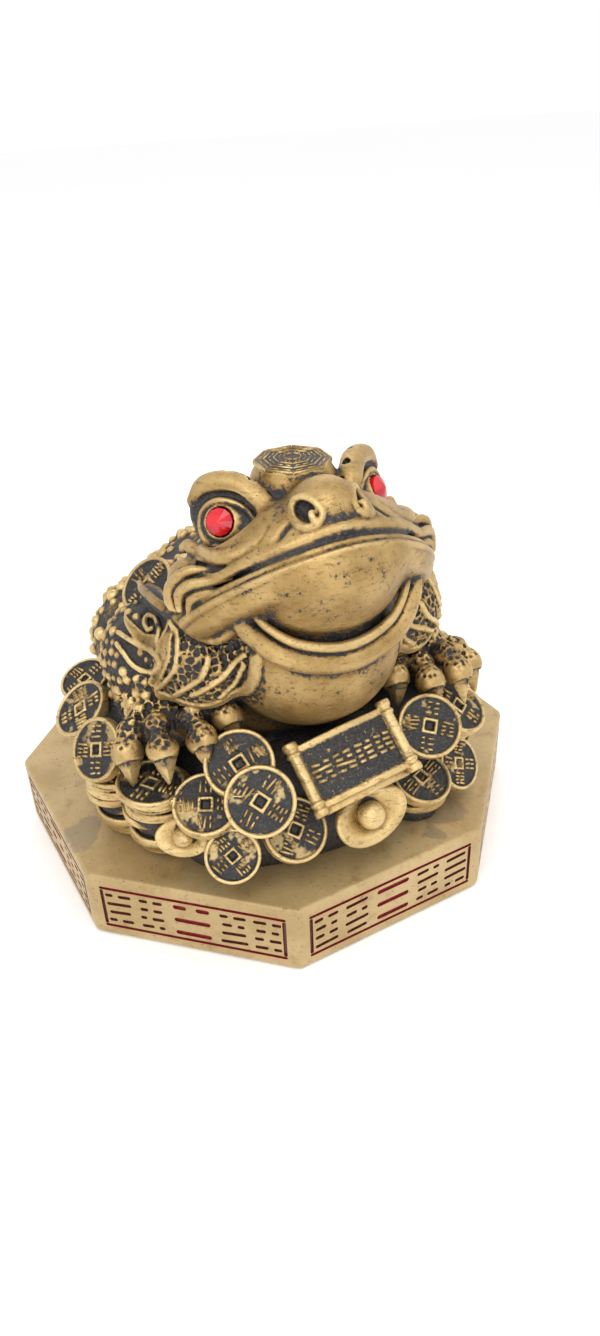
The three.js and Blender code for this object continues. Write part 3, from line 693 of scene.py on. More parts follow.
def arm_relief(side):
    """Raises and sinks the skin of one arm."""
    flip = np.array([side, 1, 1])

    def on_arm(points):
        return toad.settle(smooth_path(points)[0] * flip)

    plates = []
    for path, widths in PLATES:
        spots, share = smooth_path(path)
        plates.append((toad.settle(spots * flip), np.interp(share, np.arange(len(widths)), widths)))
    lines = [(on_arm(PLATE_RIM), 0.9, 0.45), (on_arm(LACE_RIM), 2.2, 0.5)]
    lines += [(on_arm(path), 0.95, 0.45) for path in CURLS]
    lines += [(on_arm(path), 1.0, 0.5) for path in LEAVES]

    def height(points):
        p = points * flip
        lace = ramp(p[:, 0] * 0.55 - p[:, 1] * 0.83, 44, 46) * ramp(p[:, 2], 42, 46)
        lace *= ramp(near_path(p, np.array([(36, -34, 69), (30, -39, 67), (24, -42, 67.0)])), 3, 6)
        lace *= ramp(p[:, 0], 17.5, 20) * (1 - ramp(p[:, 2], 64, 67))
        elbow = ramp(p[:, 0], 33, 35.5) * (1 - lace) * ramp(p[:, 2], 37, 40) * (1 - ramp(p[:, 1], 2, 9))
        off = np.min([near_path(points, path, widths) for path, widths in plates], axis=0)
        body, rim = 1 - ramp(off, -0.1, 0.4), 1 - ramp(np.abs(off + 0.25), 0.15, 0.5)
        nearness = [ramp(near_path(points, path), wide * 0.55, wide) for path, wide, _ in lines]
        plain = np.min(nearness, axis=0) * (1 - body)
        out = plain * (lace * (net(points, 1.9, 0.55, 0.4) - 0.65) - 0.8 * elbow) + 0.2 * rim
        return out + np.max([tall * (1 - near) for near, (_, _, tall) in zip(nearness, lines)], axis=0)

    corners = np.array([(15, -52, 38), (52, 2, 70)]) * flip
    toad.raise_skin(corners.min(axis=0), corners.max(axis=0), height)


toad.keep_smooth()
for side in (1, -1):
    arm_relief(side)
carved_depth = float(np.abs(toad.field - toad.smooth).max())
print("the carving on the arms is up to", round(carved_depth, 2), "mm deep")

# %% [markdown]
# ## Where knobs may stand
# Elbows, nape and back are covered with knobs of many sizes. Scattering objects over faces would
# leave them stuck on, and here they have to melt in. Seeded rays from inside the body find places
# on the skin. A place too close to another knob, or to a carved line, is passed over.

# %% Find places for knobs
def strew(inside, low, high, count, gap, sizes, keep=None):
    """Knobs on the skin between two corners, seen from a point inside."""
    aims = low + rng.random((12 * count, 3)) * (high - low)
    rays = aims - inside
    rays /= np.linalg.norm(rays, axis=1, keepdims=True)
    steps = np.arange(1, 60, 1.0)
    paths = inside + rays[:, None, :] * steps[None, :, None]
    outside = toad.read(paths) > 0
    first = outside.argmax(axis=1)
    spots = toad.settle(paths[np.arange(len(aims)), first])
    good = outside.any(axis=1) & (spots > low).all(axis=1) & (spots < high).all(axis=1)
    if keep:
        good &= keep(spots)
    found = []
    for spot in spots[good]:
        if len(found) < count and all(np.linalg.norm(spot - other) > gap for other, _ in found):
            found.append((spot, rng.uniform(*sizes)))
    return found


def off_the_lines(side):
    """Keeps knobs clear of the plates, the curls and the lace."""
    flip = np.array([side, 1, 1])
    lines = [PLATE_RIM, LACE_RIM] + CURLS + [path for path, _ in PLATES]
    paths = [smooth_path(line)[0] * flip for line in lines]

    def keep(spots):
        return np.min([near_path(spots, path) for path in paths], axis=0) > 2

    return keep


print("knobs keep clear of", 2 + len(CURLS) + len(PLATES), "lines on each arm")


# %% Press the knobs
def sink_between(low, high, depth=0.45, soft=6.0):
    """Lowers the skin in a soft-edged box, so that the paint stays black between the knobs."""
    middle, half = (low + high) / 2, (high - low) / 2

    def height(points):
        inner = 1 - ramp(np.abs(points - middle), half - soft, half)
        return -depth * inner.prod(axis=1)

    toad.raise_skin(low, high, height)


knobs = []
sink_between(np.array([-46.0, -14, 24]), np.array([46.0, 60, 84]), depth=0.35)
for side in (1, -1):
    corners = np.array([(36.5, -30, 37), (52, 8, 60)]) * np.array([side, 1, 1])
    knobs += strew(np.array([33.0 * side, -13, 47]), corners.min(axis=0), corners.max(axis=0), 95, 2.3,
                   (0.8, 1.5), keep=off_the_lines(side))
    corners = np.array([(17, -27, 66), (34, 0, 92)]) * np.array([side, 1, 1])
    sink_between(corners.min(axis=0) - 4, corners.max(axis=0) + 4, soft=5)
    knobs += strew(np.array([18.0 * side, -18, 72]), corners.min(axis=0), corners.max(axis=0), 60, 2.3,
                   (0.9, 1.7))
sink_between(np.array([-22.0, -24, 66]), np.array([22.0, 4, 94]), soft=5)
knobs += strew(np.array([0.0, -22, 70]), np.array([-17.0, -24, 66]), np.array([17.0, -2, 90]), 70, 2.5,
               (0.8, 1.6))
knobs += strew(np.array([0.0, 4, 40]), np.array([-44.0, -6, 24]), np.array([44.0, 56, 80]), 420, 3.1,
               (0.8, 2.1))
for spot, radius in knobs:
    toad.add(ball(spot, radius), 0.8)
print(len(knobs), "knobs")

# %% [markdown]
# ## Brow hollows and paws' nets
# The brows have three small hollows on their inner side, pressed in with a ball as with a tool's
# round end. Knuckles and bulbs carry the net, weaker towards their edges, and each cuff is a low
# band of it.

# %% Carve brows and paws
for side in (1, -1):
    for hollow, wide in (((12.2, -32.5, 96.6), 1.3), ((9.6, -35.6, 93.6), 1.1), ((15.5, -27.4, 98.4), 1.1)):
        toad.cut(ball((side * hollow[0], *hollow[1:]), (wide * 0.8, wide, wide)), 0.3)
    flip = np.array([side, 1, 1])
    shift = LEFT_SHIFT if side > 0 else np.zeros(3)
    for knuckle, bulb, _ in TOES:
        spots = ((np.array(knuckle) + [0, 0.5, 1.5], 0.7), (np.array(bulb) + [0, 0.4, 1.2], 0.45))
        for spot, depth in spots:
            centre = (spot + shift) * flip
            toad.raise_skin(centre - 4.5, centre + 4.5, lambda p: net(p, 1.7, 0.25, depth)
                            * (1 - ramp(np.linalg.norm(p - centre, axis=1), 2.8, 4.3)))
    cuff = (np.array([39, -24, 40.5]) + shift) * flip
    toad.raise_skin(cuff - [9, 8, 2.6], cuff + [9, 8, 2.6], lambda p: net(p, 2.1, 0.5, 0.8) + 0.35)
print("nets on", 4 * len(TOES), "knuckles and bulbs and on 2 cuffs")

# %% [markdown]
# ## The disc on the dome
# An eight-sided disc lies on the dome, slightly crowned, and its rings and short bars come later
# with the raised strokes. The clay above its seat is cleared first, so that its edge stands free.

# %% Lay the disc
DISC_RADIUS = 8.7
DISC_CROWN = 0.7
DISC_PLACE = np.array([0, -28.6, 97.2])


def octagon(x, y):
    turn = math.radians(45)
    return np.max([np.abs(x * math.cos(k * turn) + y * math.sin(k * turn)) for k in range(4)], axis=0)


def disc_top(u, v):
    return 1.3 + DISC_CROWN * (1 - (octagon(u, v) / DISC_RADIUS) ** 2)


def disc(x, y, z):
    u, v, w = np.broadcast_arrays(x - DISC_PLACE[0], y - DISC_PLACE[1], z - DISC_PLACE[2])
    edge = octagon(u, v) - DISC_RADIUS
    return soft_max(edge, soft_max(w - disc_top(u, v), 0.4 - w, 0.2), 0.2)


def over_disc(x, y, z):
    return DISC_PLACE[2] + 0.9 - z + 0 * x + 0 * y


toad.cut((DISC_PLACE - [12, 12, 0], DISC_PLACE + [12, 12, 5], over_disc), 0)
toad.add((DISC_PLACE - 10, DISC_PLACE + 10, disc), 0.3)
print("disc of", DISC_RADIUS, "mm radius on the dome")

# %% [markdown]
# ## The heap's core
# Under the toad lies a heap that looks like loose coins but is cast in one with it. Piling up
# separate coins would leave holes to see through, so a drum and some lumps fill its middle, as in
# the measured frame, and the coins only lie over them. Places on the heap are given in hundredths of
# its radius and height.

# %% Press the heap's core
HEAP_RADIUS = 56
HEAP_HEIGHT = 27
COIN_RADIUS = 8.8


def on_heap(x, y, z):
    return np.array([x * HEAP_RADIUS, y * HEAP_RADIUS, z * HEAP_HEIGHT]) / 100


def drum(x, y, z):
    rho = np.sqrt(x**2 + (y + 3) ** 2) + 0 * z
    wall = np.interp(z / HEAP_HEIGHT, [0, 0.6, 1], [0.86, 0.84, 0.64]) * HEAP_RADIUS
    return np.maximum(rho - wall, z - HEAP_HEIGHT + 0 * rho)


heap = Clay(LOW, (HIGH[0], HIGH[1], 47.0))
heap.add((np.array([-50.0, -52, -2]), np.array([50.0, 48, 28]), drum), 1)
LUMPS = [((-3.6, -75, 29.6), (73.2, 28.6, 77.8)), ((-54, -84, 56), (24, 12, 36)),
         ((1.8, -94.6, 81.5), (19.6, 12.5, 33.3)), ((46.4, -83.9, 81.5), (16.1, 12.5, 29.6)),
         ((7.1, -100, 48.1), (14.3, 10.7, 29.6)), ((78.6, -17.9, 88.9), (16.1, 32.1, 51.9)),
         ((-78.6, -17.9, 88.9), (16.1, 32.1, 51.9))]
for centre, radii in LUMPS:
    heap.add(ball(on_heap(*centre), on_heap(*radii) - 0.8), 1)
STACKS = [
    ((-75.9, -55.4, 7.4), (-81.3, -68.8, 92.6)),
    ((-85.7, -35.7, 7.4), (-92.9, -41.1, 77.8)),
    ((42.9, -83.9, 7.4), (42, -89.3, 25.9)),
    ((65.2, -62.5, 7.4), (73.2, -66.1, 59.3)),
]
for foot, top in STACKS:
    heap.add(bar([on_heap(*foot), on_heap(*top) - [0, 0, COIN_RADIUS - 2.4]], [COIN_RADIUS - 2.4] * 2), 0)
heap.keep_smooth()
print("core of a drum,", len(LUMPS), "lumps and", len(STACKS), "pillars for the stacks of coins")

# %% [markdown]
# ## One coin
# Each coin is a disc with a raised rim and a framed square hole, and its face is sunk between them.
# A coin could be turned once and copied, but copies don't melt into clay, so every coin is pressed
# anew from one rule. The list of coins is kept, because the strokes and the paint need it later.

# %% Define the coin
COIN_THICKNESS = 3.4
COIN_RIM = 1.05
COIN_SINK = 0.8
HOLE_HALF = 1.7
coins = []


def coin(place, faces, size, spin, seed=None, thickness=COIN_THICKNESS):
    """A coin for the clay. One with a seed gets strokes later."""
    place = np.array(place, float)
    matrix = facing(faces, spin)
    radius = COIN_RADIUS * size
    half = thickness / 2
    coins.append((place, matrix, size, half, seed))

    def distance(x, y, z):
        u, v, w = np.broadcast_arrays(*local(matrix, place, x, y, z))
        rho = np.sqrt(u**2 + v**2)
        square = np.maximum(np.abs(u), np.abs(v)) / size
        top = half - COIN_SINK + COIN_SINK * ramp(rho, radius - COIN_RIM - 0.25, radius - COIN_RIM + 0.25)
        top = top + 0.6 * (1 - ramp(np.abs(square - HOLE_HALF), 0.25, 0.5))
        top = top - 0.8 * (1 - ramp(square, HOLE_HALF - 0.7, HOLE_HALF - 0.4))
        edge = soft_max(rho - radius, w - top, 0.5)
        return soft_max(edge, -half - w, 0.5)

    reach = np.full(3, radius + 0.5)
    return place - reach, place + reach, distance


print("a full coin is", 2 * COIN_RADIUS, "mm across with a hole of", 2 * HOLE_HALF, "mm")

# %% [markdown]
# ## Coins on the heap
# The coins that the photograph shows lie where it shows them, and one leans on the shoulder. Stacks
# stand under the front paws. The hidden sides get two rings of coins and more that are half sunk,
# all by rule, because nobody knows their places.

# %% Lay the coins
STACK_THICKNESS = 2.3
FRONT_COINS = [
    ((-44.6, -105.4, 100), (-0.3, -0.75, 0.6), 1, 10),
    ((-47.3, -89.3, 120.4), (-0.25, -0.55, 0.8), 1, 30),
    ((-64.3, -89.3, 85.2), (-0.2, -0.45, 0.9), 0.95, 20),
    ((-58.9, -104.5, 46.3), (-0.3, -0.8, 0.5), 0.8, 5),
    ((-29.5, -105.4, 53.7), (0, -0.7, 0.7), 0.95, 15),
    ((46.4, -92.9, 103.7), (-0.15, -0.7, 0.7), 0.98, 12),
    ((72.3, -76.8, 88.9), (0.3, -0.47, 0.8), 0.98, 40),
    ((40.2, -97.3, 50), (0.1, -0.4, 0.9), 0.95, 35),
    ((66.1, -88.4, 37), (0.35, -0.75, 0.55), 0.85, 25),
    ((-99.1, -44.6, 111.1), (-0.75, -0.35, 0.55), 0.95, 15),
    ((-99.1, -16.1, 120.4), (-0.6, -0.1, 0.8), 0.95, 50),
    ((-92, 5.4, 124.1), (-0.35, -0.15, 0.9), 0.82, 5),
    ((89.5, -40, 98), (0.75, -0.5, 0.5), 0.9, 20),
    ((93, -13, 92), (0.9, 0, 0.4), 0.95, 65),
    ((87, 12, 84), (0.75, 0.6, 0.35), 0.9, 35),
    ((-87, 13, 80), (-0.75, 0.6, 0.35), 0.9, 50),
]
for number, (place, faces, size, spin) in enumerate(FRONT_COINS):
    heap.add(coin(on_heap(*place), faces, size, spin, number), 0.1)
toad.add(coin((-31, 0, 59.5), (-0.65, -0.2, 0.75), 0.95, 30, 90), 0.1)
for number, (foot, top) in enumerate(STACKS):
    low, high = on_heap(*foot), on_heap(*top)
    count = round((high[2] - low[2]) / (COIN_THICKNESS - 0.3))
    for k in range(count + 1):
        place = low + (high - low) * k / count + 0.9 * np.array([math.cos(2.2 * k), math.sin(2.2 * k), 0])
        lean = np.array([0.07 * math.sin(3 * k), 0.07 * math.cos(5 * k), 1])
        heap.add(coin(place, lean, 1, k, 40 + number if k == count else None, STACK_THICKNESS), 0)
RINGS = [(18.5, 87.5, 4, 0.9, 0), (63, 78.6, 4, 0.6, 0.5)]
for height, radius, count, lean, first in RINGS:
    for k in range(count):
        a = math.radians(-20 + 220 * (k + first) / count)
        x, y = math.cos(a), math.sin(a)
        spot = on_heap(radius * x, radius * y, height)
        heap.add(coin(spot, (x * lean, y * lean, 1 - lean / 2), 1, k, 120 + len(coins)), 0.1)
SUNK_COINS = [
    (22, -5.4, 84.5, 0.25, (7.5, 62.5, 117.5, 172.5, 200)),
    (60, -5.4, 81, 0.5, (-20, 35, 90, 145, 198)),
]
for height, back, radius, tilt, angles in SUNK_COINS:
    for degrees in angles:
        x, y = math.cos(math.radians(degrees)), math.sin(math.radians(degrees))
        spot = on_heap(radius * x, radius * y + back, height)
        heap.add(coin(spot, (x, y, tilt), 0.95, math.radians(3 * degrees), 200 + len(coins)), 0.1)
print(len(FRONT_COINS), "coins in front,", len(STACKS), "stacks,", len(coins), "coins in all")

# %% [markdown]
# ## Ingots
# The two ingots are the boat-shaped ones of old: a shallow bowl bent up at its ends, with a ball in
# the middle. Bending is done by measuring heights from a curved line instead of a straight one.

# %% Press the ingots
INGOT_LENGTH = 20.5


def ingot(place, faces, size, spin):
    """An ingot for the clay, with its length along the first direction of its frame."""
    matrix = facing(faces, spin)
    long = INGOT_LENGTH * size / 2

    def distance(x, y, z):
        u, v, w = local(matrix, place, x, y, z)
        w = w - 0.3 * u * u / long
        bowl = np.sqrt((u / long) ** 2 + (v / (0.72 * long)) ** 2 + (w / (0.3 * long)) ** 2) - 1
        sunk = (w - 0.32 * long) / (0.26 * long)
        hollow = np.sqrt((u / (0.86 * long)) ** 2 + (v / (0.58 * long)) ** 2 + sunk**2)
        hull = soft_max(bowl * 0.42 * long, w - 0.16 * long, 0.5)
        hull = soft_max(hull, -(hollow - 1) * 0.35 * long, 0.5)
        knob = np.sqrt(u**2 + v**2 + (w - 0.2 * long) ** 2) - 0.36 * long
        return soft_min(hull, knob, 0.4)

    reach = np.full(3, long + 1)
    return place - reach, place + reach, distance


heap.add(ingot(on_heap(5, -110.7, 52.6), (-0.05, -0.75, 0.6), 1, 0.25), 0.2)
heap.add(ingot(on_heap(-75, -87.5, 53.7), (-0.45, -0.65, 0.6), 0.7, -0.5), 0.2)
print("two ingots,", INGOT_LENGTH, "and", round(0.7 * INGOT_LENGTH, 1), "mm long")

# %% [markdown]
# ## The scroll
# A half-open scroll leans on the heap: an arched sheet with raised borders between two turned rods.
# The rule for its sunk field is kept apart, because the strokes and the black paint follow it too.

# %% Press the scroll
SCROLL_PLACE = on_heap(2.7, -100, 107.4)
SCROLL_FRAME = facing((-0.08, -0.68, 0.73), 0.1)
SCROLL_LENGTH = 27
SCROLL_WIDTH = 17
SCROLL_RISE = 3
ROD_RADIUS = 1.5
ROD_LENGTH = 20
SCROLL_SINK = 0.55
SCROLL_BORDER = 1.9


def scroll_field(u):
    """Height of the sunk field over the rods' plane."""
    return SCROLL_RISE * (1 - np.clip(2 * u / SCROLL_LENGTH, -1, 1) ** 2) - SCROLL_SINK


def scroll(x, y, z):
    u, v, w = np.broadcast_arrays(*local(SCROLL_FRAME, SCROLL_PLACE, x, y, z))
    half, wide = SCROLL_LENGTH / 2, SCROLL_WIDTH / 2
    arch = scroll_field(u) + SCROLL_SINK
    border = ramp(np.abs(v), wide - SCROLL_BORDER, wide - SCROLL_BORDER + 0.4)
    speckle = np.sin(u * 6.1 + 3 * np.sin(v * 4.3)) * np.sin(v * 5.3 + 3 * np.sin(u * 4.1))
    top = arch - SCROLL_SINK + SCROLL_SINK * border + 0.2 * speckle * (1 - border)
    sheet = soft_max(np.abs(v) - wide, w - top, 0.3)
    sheet = np.maximum(soft_max(sheet, arch - 2.4 - w, 0.3), np.abs(u) - half)
    under = np.maximum(np.abs(v + 1.6) - wide, np.abs(w - arch + 2.9) - 0.9)
    under = np.maximum(under, np.abs(u) - half + 1.5)
    sheet = np.minimum(sheet, under)
    for end in (-1, 1):
        rho = np.sqrt((u - end * half) ** 2 + w**2)
        along = np.abs(v)
        # A thin ring and a thicker cap are turned on each end of the rod.
        ring = 0.45 * (1 - ramp(np.abs(along - ROD_LENGTH / 2 + 3.4), 0.3, 0.7))
        ring = ring + 0.5 * ramp(along, ROD_LENGTH / 2 - 2.4, ROD_LENGTH / 2 - 1.6)
        rod = soft_max(rho - ROD_RADIUS - ring, along - ROD_LENGTH / 2, 0.5)
        sheet = np.minimum(sheet, rod)
    return sheet


heap.add((SCROLL_PLACE - 18, SCROLL_PLACE + 18, scroll), 0.1)
print("clay in the heap:", round(float((heap.field < 0).sum() * PITCH**3 / 1000), 1), "cm3")

# %% [markdown]
# ## Gem seats and underside
# The gems of the measured frame stay where they are. On the real toad they are glued into seats, so
# seats are cut into the eyeballs with a little room all round. The casting's underside is cut flat
# where it stands on the plinth, and the two clays are then joined into one grid to measure on.

# %% Cut the gem seats and the underside
GEM_RADIUS = 3.2
GEM_DEPTH = 1.6
GEM_GAP = 0.3
GEM_SINK = 0.4
for side in (1, -1):
    gaze = GAZE * np.array([side, 1, 1])
    front = EYE * np.array([side, 1, 1]) + gaze * (EYE_RADIUS - GEM_SINK)

    def seat(x, y, z):
        u, v, w = local(facing(gaze, 0), front, x, y, z)
        return soft_max(np.sqrt(u**2 + v**2) - GEM_RADIUS - GEM_GAP, -GEM_DEPTH - GEM_GAP - w, 0.3)

    toad.cut((front - 5, front + 9, seat), 0.1)
for clay in (toad, heap):
    z_axis = clay.low[2] + PITCH * np.arange(clay.size[2])
    clay.field = np.maximum(clay.field, -z_axis[None, None, :].astype(np.float32))
whole = toad.field.copy()
levels = heap.size[2]
whole[:, :, :levels] = np.minimum(whole[:, :, :levels], heap.field)
print("clay inside the casting:", round(float((whole < 0).sum() * PITCH**3 / 1000), 1), "cm3")

# %% [markdown]
# ## From clay to skin
# Blender needs faces, not distances. Wherever the distances change sign inside a cell of the grid,
# one point of the skin lies at the mean of the crossings, and four neighbouring points make a face.
# A voxel remesh would do something alike, but it starts from a mesh and blurs small carving.

# %% Draw the skin
def skin_of(clay):
    """Points and four-sided faces of the surface in a clay's grid."""
    field = clay.field
    inside = field < 0
    shape = np.array(field.shape) - 1
    count = np.zeros(shape, np.uint8)
    for corner in np.ndindex(2, 2, 2):
        part = tuple(slice(c, c + n) for c, n in zip(corner, shape))
        count += inside[part]
    active = (count > 0) & (count < 8)
    cell = np.argwhere(active)
    number = np.full(shape, -1, np.int32)
    number[active] = np.arange(len(cell), dtype=np.int32)
    total = np.zeros((len(cell), 3))
    hits = np.zeros((len(cell), 1))
    for axis in range(3):
        step = np.eye(3, dtype=int)[axis]
        for corner in np.ndindex(2, 2, 2):
            if corner[axis]:
                continue
            a = field[tuple((cell + corner).T)]
            b = field[tuple((cell + corner + step).T)]
            cross = (a < 0) != (b < 0)
            t = a[cross] / (a[cross] - b[cross])
            total[cross] += np.array(corner) + t[:, None] * step
            hits[cross] += 1
    points = clay.low + PITCH * (cell + total / hits)
    faces = []
    for axis in range(3):
        step = np.eye(3, dtype=int)[axis]
        one, two = [np.eye(3, dtype=int)[(axis + k) % 3] for k in (1, 2)]
        low = inside[tuple(slice(0, n - s) for n, s in zip(inside.shape, step))]
        high = inside[tuple(slice(s, n) for n, s in zip(inside.shape, step))]
        at = np.argwhere(low != high)
        at = at[((at - one - two >= 0) & (at < shape)).all(axis=1)]
        outward = low[tuple(at.T)]
        ring = [number[tuple((at - p).T)] for p in (one + two, two, 0 * one, one)]
        quad = np.stack(ring, axis=1)
        quad[~outward] = quad[~outward][:, ::-1]
        faces.append(quad)
    return points, np.concatenate(faces)


print("clay skins will be drawn at", PITCH, "mm")

# %% [markdown]
# ## Fewer faces
# The skins have far more faces than the smooth places need. Blender's decimate modifier takes faces
# out where the surface is flat, and later each point is drawn back onto the true surface, so the
# carving stays.

# %% Make meshes and thin them
MOST_TRIANGLES = 190000


def mesh_from(name, points, faces):
    """A mesh from points in millimetres and faces that all have the same number of corners."""
    mesh = bpy.data.meshes.new(name)
    mesh.vertices.add(len(points))
    mesh.vertices.foreach_set("co", (points * MM).astype(np.float32).ravel())
    sides = faces.shape[1]
    mesh.loops.add(faces.size)
    mesh.loops.foreach_set("vertex_index", faces.astype(np.int32).ravel())
    mesh.polygons.add(len(faces))
    mesh.polygons.foreach_set("loop_start", np.arange(0, faces.size, sides, dtype=np.int32))
    mesh.update(calc_edges=True)
    mesh.validate()
    return mesh


def thinned(mesh, most):
    """The mesh with its flat places thinned out until it has at most this many triangles."""
    count = sum(len(face.vertices) - 2 for face in mesh.polygons)
    if count <= most:
        return mesh
    helper = bpy.data.objects.new("thinning", mesh)
    bpy.context.scene.collection.objects.link(helper)
    modifier = helper.modifiers.new("thin", "DECIMATE")
    modifier.ratio = most / count
    made = bpy.data.meshes.new_from_object(helper.evaluated_get(bpy.context.evaluated_depsgraph_get()))
    bpy.data.objects.remove(helper)
    bpy.data.meshes.remove(mesh)
    return made


print("each skin is thinned to", MOST_TRIANGLES, "triangles at most")

# %% [markdown]
# ## Hollows and ridges
# Old gold is dark in its hollows. Here the ground beside a hollow also gets a painted shade, and a
# ridge a painted highlight that stands for rubbed gold too. How much clay lies around a point tells
# which it is: half on a flat, more in a hollow, less on a ridge. A shader's own occlusion would be
# lost in an export, so two sizes of neighbourhood are measured here and stored with the mesh, one
# for fine carving and one for the gaps between coins.

# %% Measure the whole casting's hollows
def blurred(grid, reach):
    """The mean over a cube of cells, taken along one axis after the other."""
    for axis in range(3):
        spare = [(reach + 1, reach) if k == axis else (0, 0) for k in range(3)]
        total = np.cumsum(np.pad(grid, spare, mode="edge"), axis=axis, dtype=np.float64)
        upper = np.take(total, range(2 * reach + 1, total.shape[axis]), axis=axis)
        lower = np.take(total, range(0, total.shape[axis] - 2 * reach - 1), axis=axis)
        grid = ((upper - lower) / (2 * reach + 1)).astype(np.float32)
    return grid


full = np.clip(0.5 - whole / PITCH, 0, 1)
full[:, :, toad.low[2] + PITCH * np.arange(toad.size[2]) < 0] = 1
hollow_grids = {name: blurred(full, max(1, round(reach / PITCH)))
                for name, reach in (("fine_hollow", 0.8), ("wide_hollow", 2.6))}
print("measured", list(hollow_grids))

# %% [markdown]
# ## Where the paint stays black
# Some fields are black although they aren't deep: the coins' faces, the scroll's field, the disc,
# the mouth's gap and the ground between the toes. The brush never reached them. They are found by the
# same rules that pressed them, so paint and carving meet exactly. A painted shadow is black too, on
# the skin under the front of the belly.

# %% Find the coins' faces and the scroll's field
def coin_places(points):
    """Where points lie on a coin's face, in millimetres of a full-sized coin, or far off it."""
    places = np.full((len(points), 3), 99.0, np.float32)
    closest = np.full(len(points), COIN_SINK + 0.35)
    for place, matrix, size, half, _ in coins:
        radius = COIN_RADIUS * size
        near = np.nonzero((np.abs(points - place) < radius + 1).all(axis=1))[0]
        u, v, w = local(matrix, place, *points[near].T)
        rho = np.hypot(u, v)
        off = np.abs(w - half + COIN_SINK * (rho < radius - COIN_RIM))
        on = (rho < radius + 0.2) & (off < closest[near])
        places[near[on]] = np.stack([u[on] / size, v[on] / size, 0 * u[on]], axis=1)
        closest[near[on]] = off[on]
    return places


def inked_heap(points):
    """1 on the sunk field of the scroll, where the paint stays black."""
    u, v, w = local(SCROLL_FRAME, SCROLL_PLACE, *points.T)
    in_field = (np.abs(v) < SCROLL_WIDTH / 2 - SCROLL_BORDER + 0.1) & (np.abs(u) < SCROLL_LENGTH / 2 - 1.6)
    return 1.0 * (in_field & (np.abs(w - scroll_field(u)) < 0.6))


middle = SCROLL_PLACE + SCROLL_FRAME[:, 2] * scroll_field(0)
print("ink in the middle of the scroll:", inked_heap(middle[None]))


# %% Find the toad's black places
def toad_ink_and_shadow(points):
    """1 on the disc, in the mouth and between the toes, and a painted shadow under the belly."""
    u, v, w = (points - DISC_PLACE).T
    ink_with_shadow = 0.85 * ((octagon(u, v) < DISC_RADIUS - 0.3) & (np.abs(w - disc_top(u, v)) < 0.5))
    over = local(MOUTH, SKULL[0], *points.T)[2]
    under = local(MOUTH, JAW[0], *points.T)[2]
    x, y, z = np.abs(points[:, 0]), points[:, 1], points[:, 2]
    folded = np.stack([x, y, z], axis=1)
    gap = (over < -1.8) & (under > 2.8) & (y < -25) & (z > 60)
    off = np.min([near_path(folded[gap], smooth_path(path)[0]) for path, _ in FOLDS], axis=0)
    ink_with_shadow[gap] = np.maximum(ink_with_shadow[gap], ramp(off, 1.7, 2.0))
    nose, brow, out = ((folded - EYE) @ EYE_FRAME).T
    lidded = ((nose - 1.4) / 6.6) ** 2 + ((brow + 0.3) / 4.9) ** 2 < 1
    ink_with_shadow = np.maximum(ink_with_shadow, lidded & (out > 1.5) & (out < 6.3) & (np.hypot(nose - 0.5, brow) > 4.3))
    # Painted shadow: black on the skin under the front of the belly.
    ink_with_shadow = np.maximum(ink_with_shadow, (x < 24) * (y < -15) * (1 - ramp(z, 27, 31)) * (z > 3))
    for side, shift in ((1, LEFT_SHIFT), (-1, np.zeros(3))):
        p = points * [side, 1, 1] - shift
        paw = (np.abs(p - PALM) < (13, 12, 7.5)).all(axis=1)
        toes = [smooth_path([PALM, knuckle, bulb, tip])[0] for knuckle, bulb, tip in TOES]
        off = np.min([near_path(p[paw], path) for path in toes], axis=0)
        ink_with_shadow[paw] = np.maximum(ink_with_shadow[paw], ramp(off, 3.9, 4.4) * (p[paw][:, 2] < 39))
        for _, bulb, tip in TOES:
            bulb, tip = np.array(bulb), np.array(tip)
            root = np.linalg.norm((p - sheath(bulb, tip)) / (np.array(SHEATH) + 0.35), axis=1) < 1
            root[root] = near_path(p[root], np.array(claw_line(bulb, tip))) > CLAW_HALF * 1.1
            ink_with_shadow[root] = 1
    return ink_with_shadow


print("ink in the middle of the disc:", toad_ink_and_shadow(DISC_PLACE[None] + [0, 0, 1.3 + DISC_CROWN]))

# %% [markdown]
# ## Two skins for one casting
# The toad and the heap are one casting, but their skins are drawn apart, so that claws and belly
# press into the coins with a crisp edge and each skin gets triangles enough. Faces that are buried
# inside the other skin are left out. The rest carries its stored values, is turned to the toad's
# angle and lifted onto the plinth.

# %% Dress the toad and the heap
BURIED = 1.5
PLINTH_HEIGHT = 21
SEAT_GAP = 0.3
TURN = turned(turn=-5.5)
LIFT = np.array([0, 0, PLINTH_HEIGHT + SEAT_GAP])


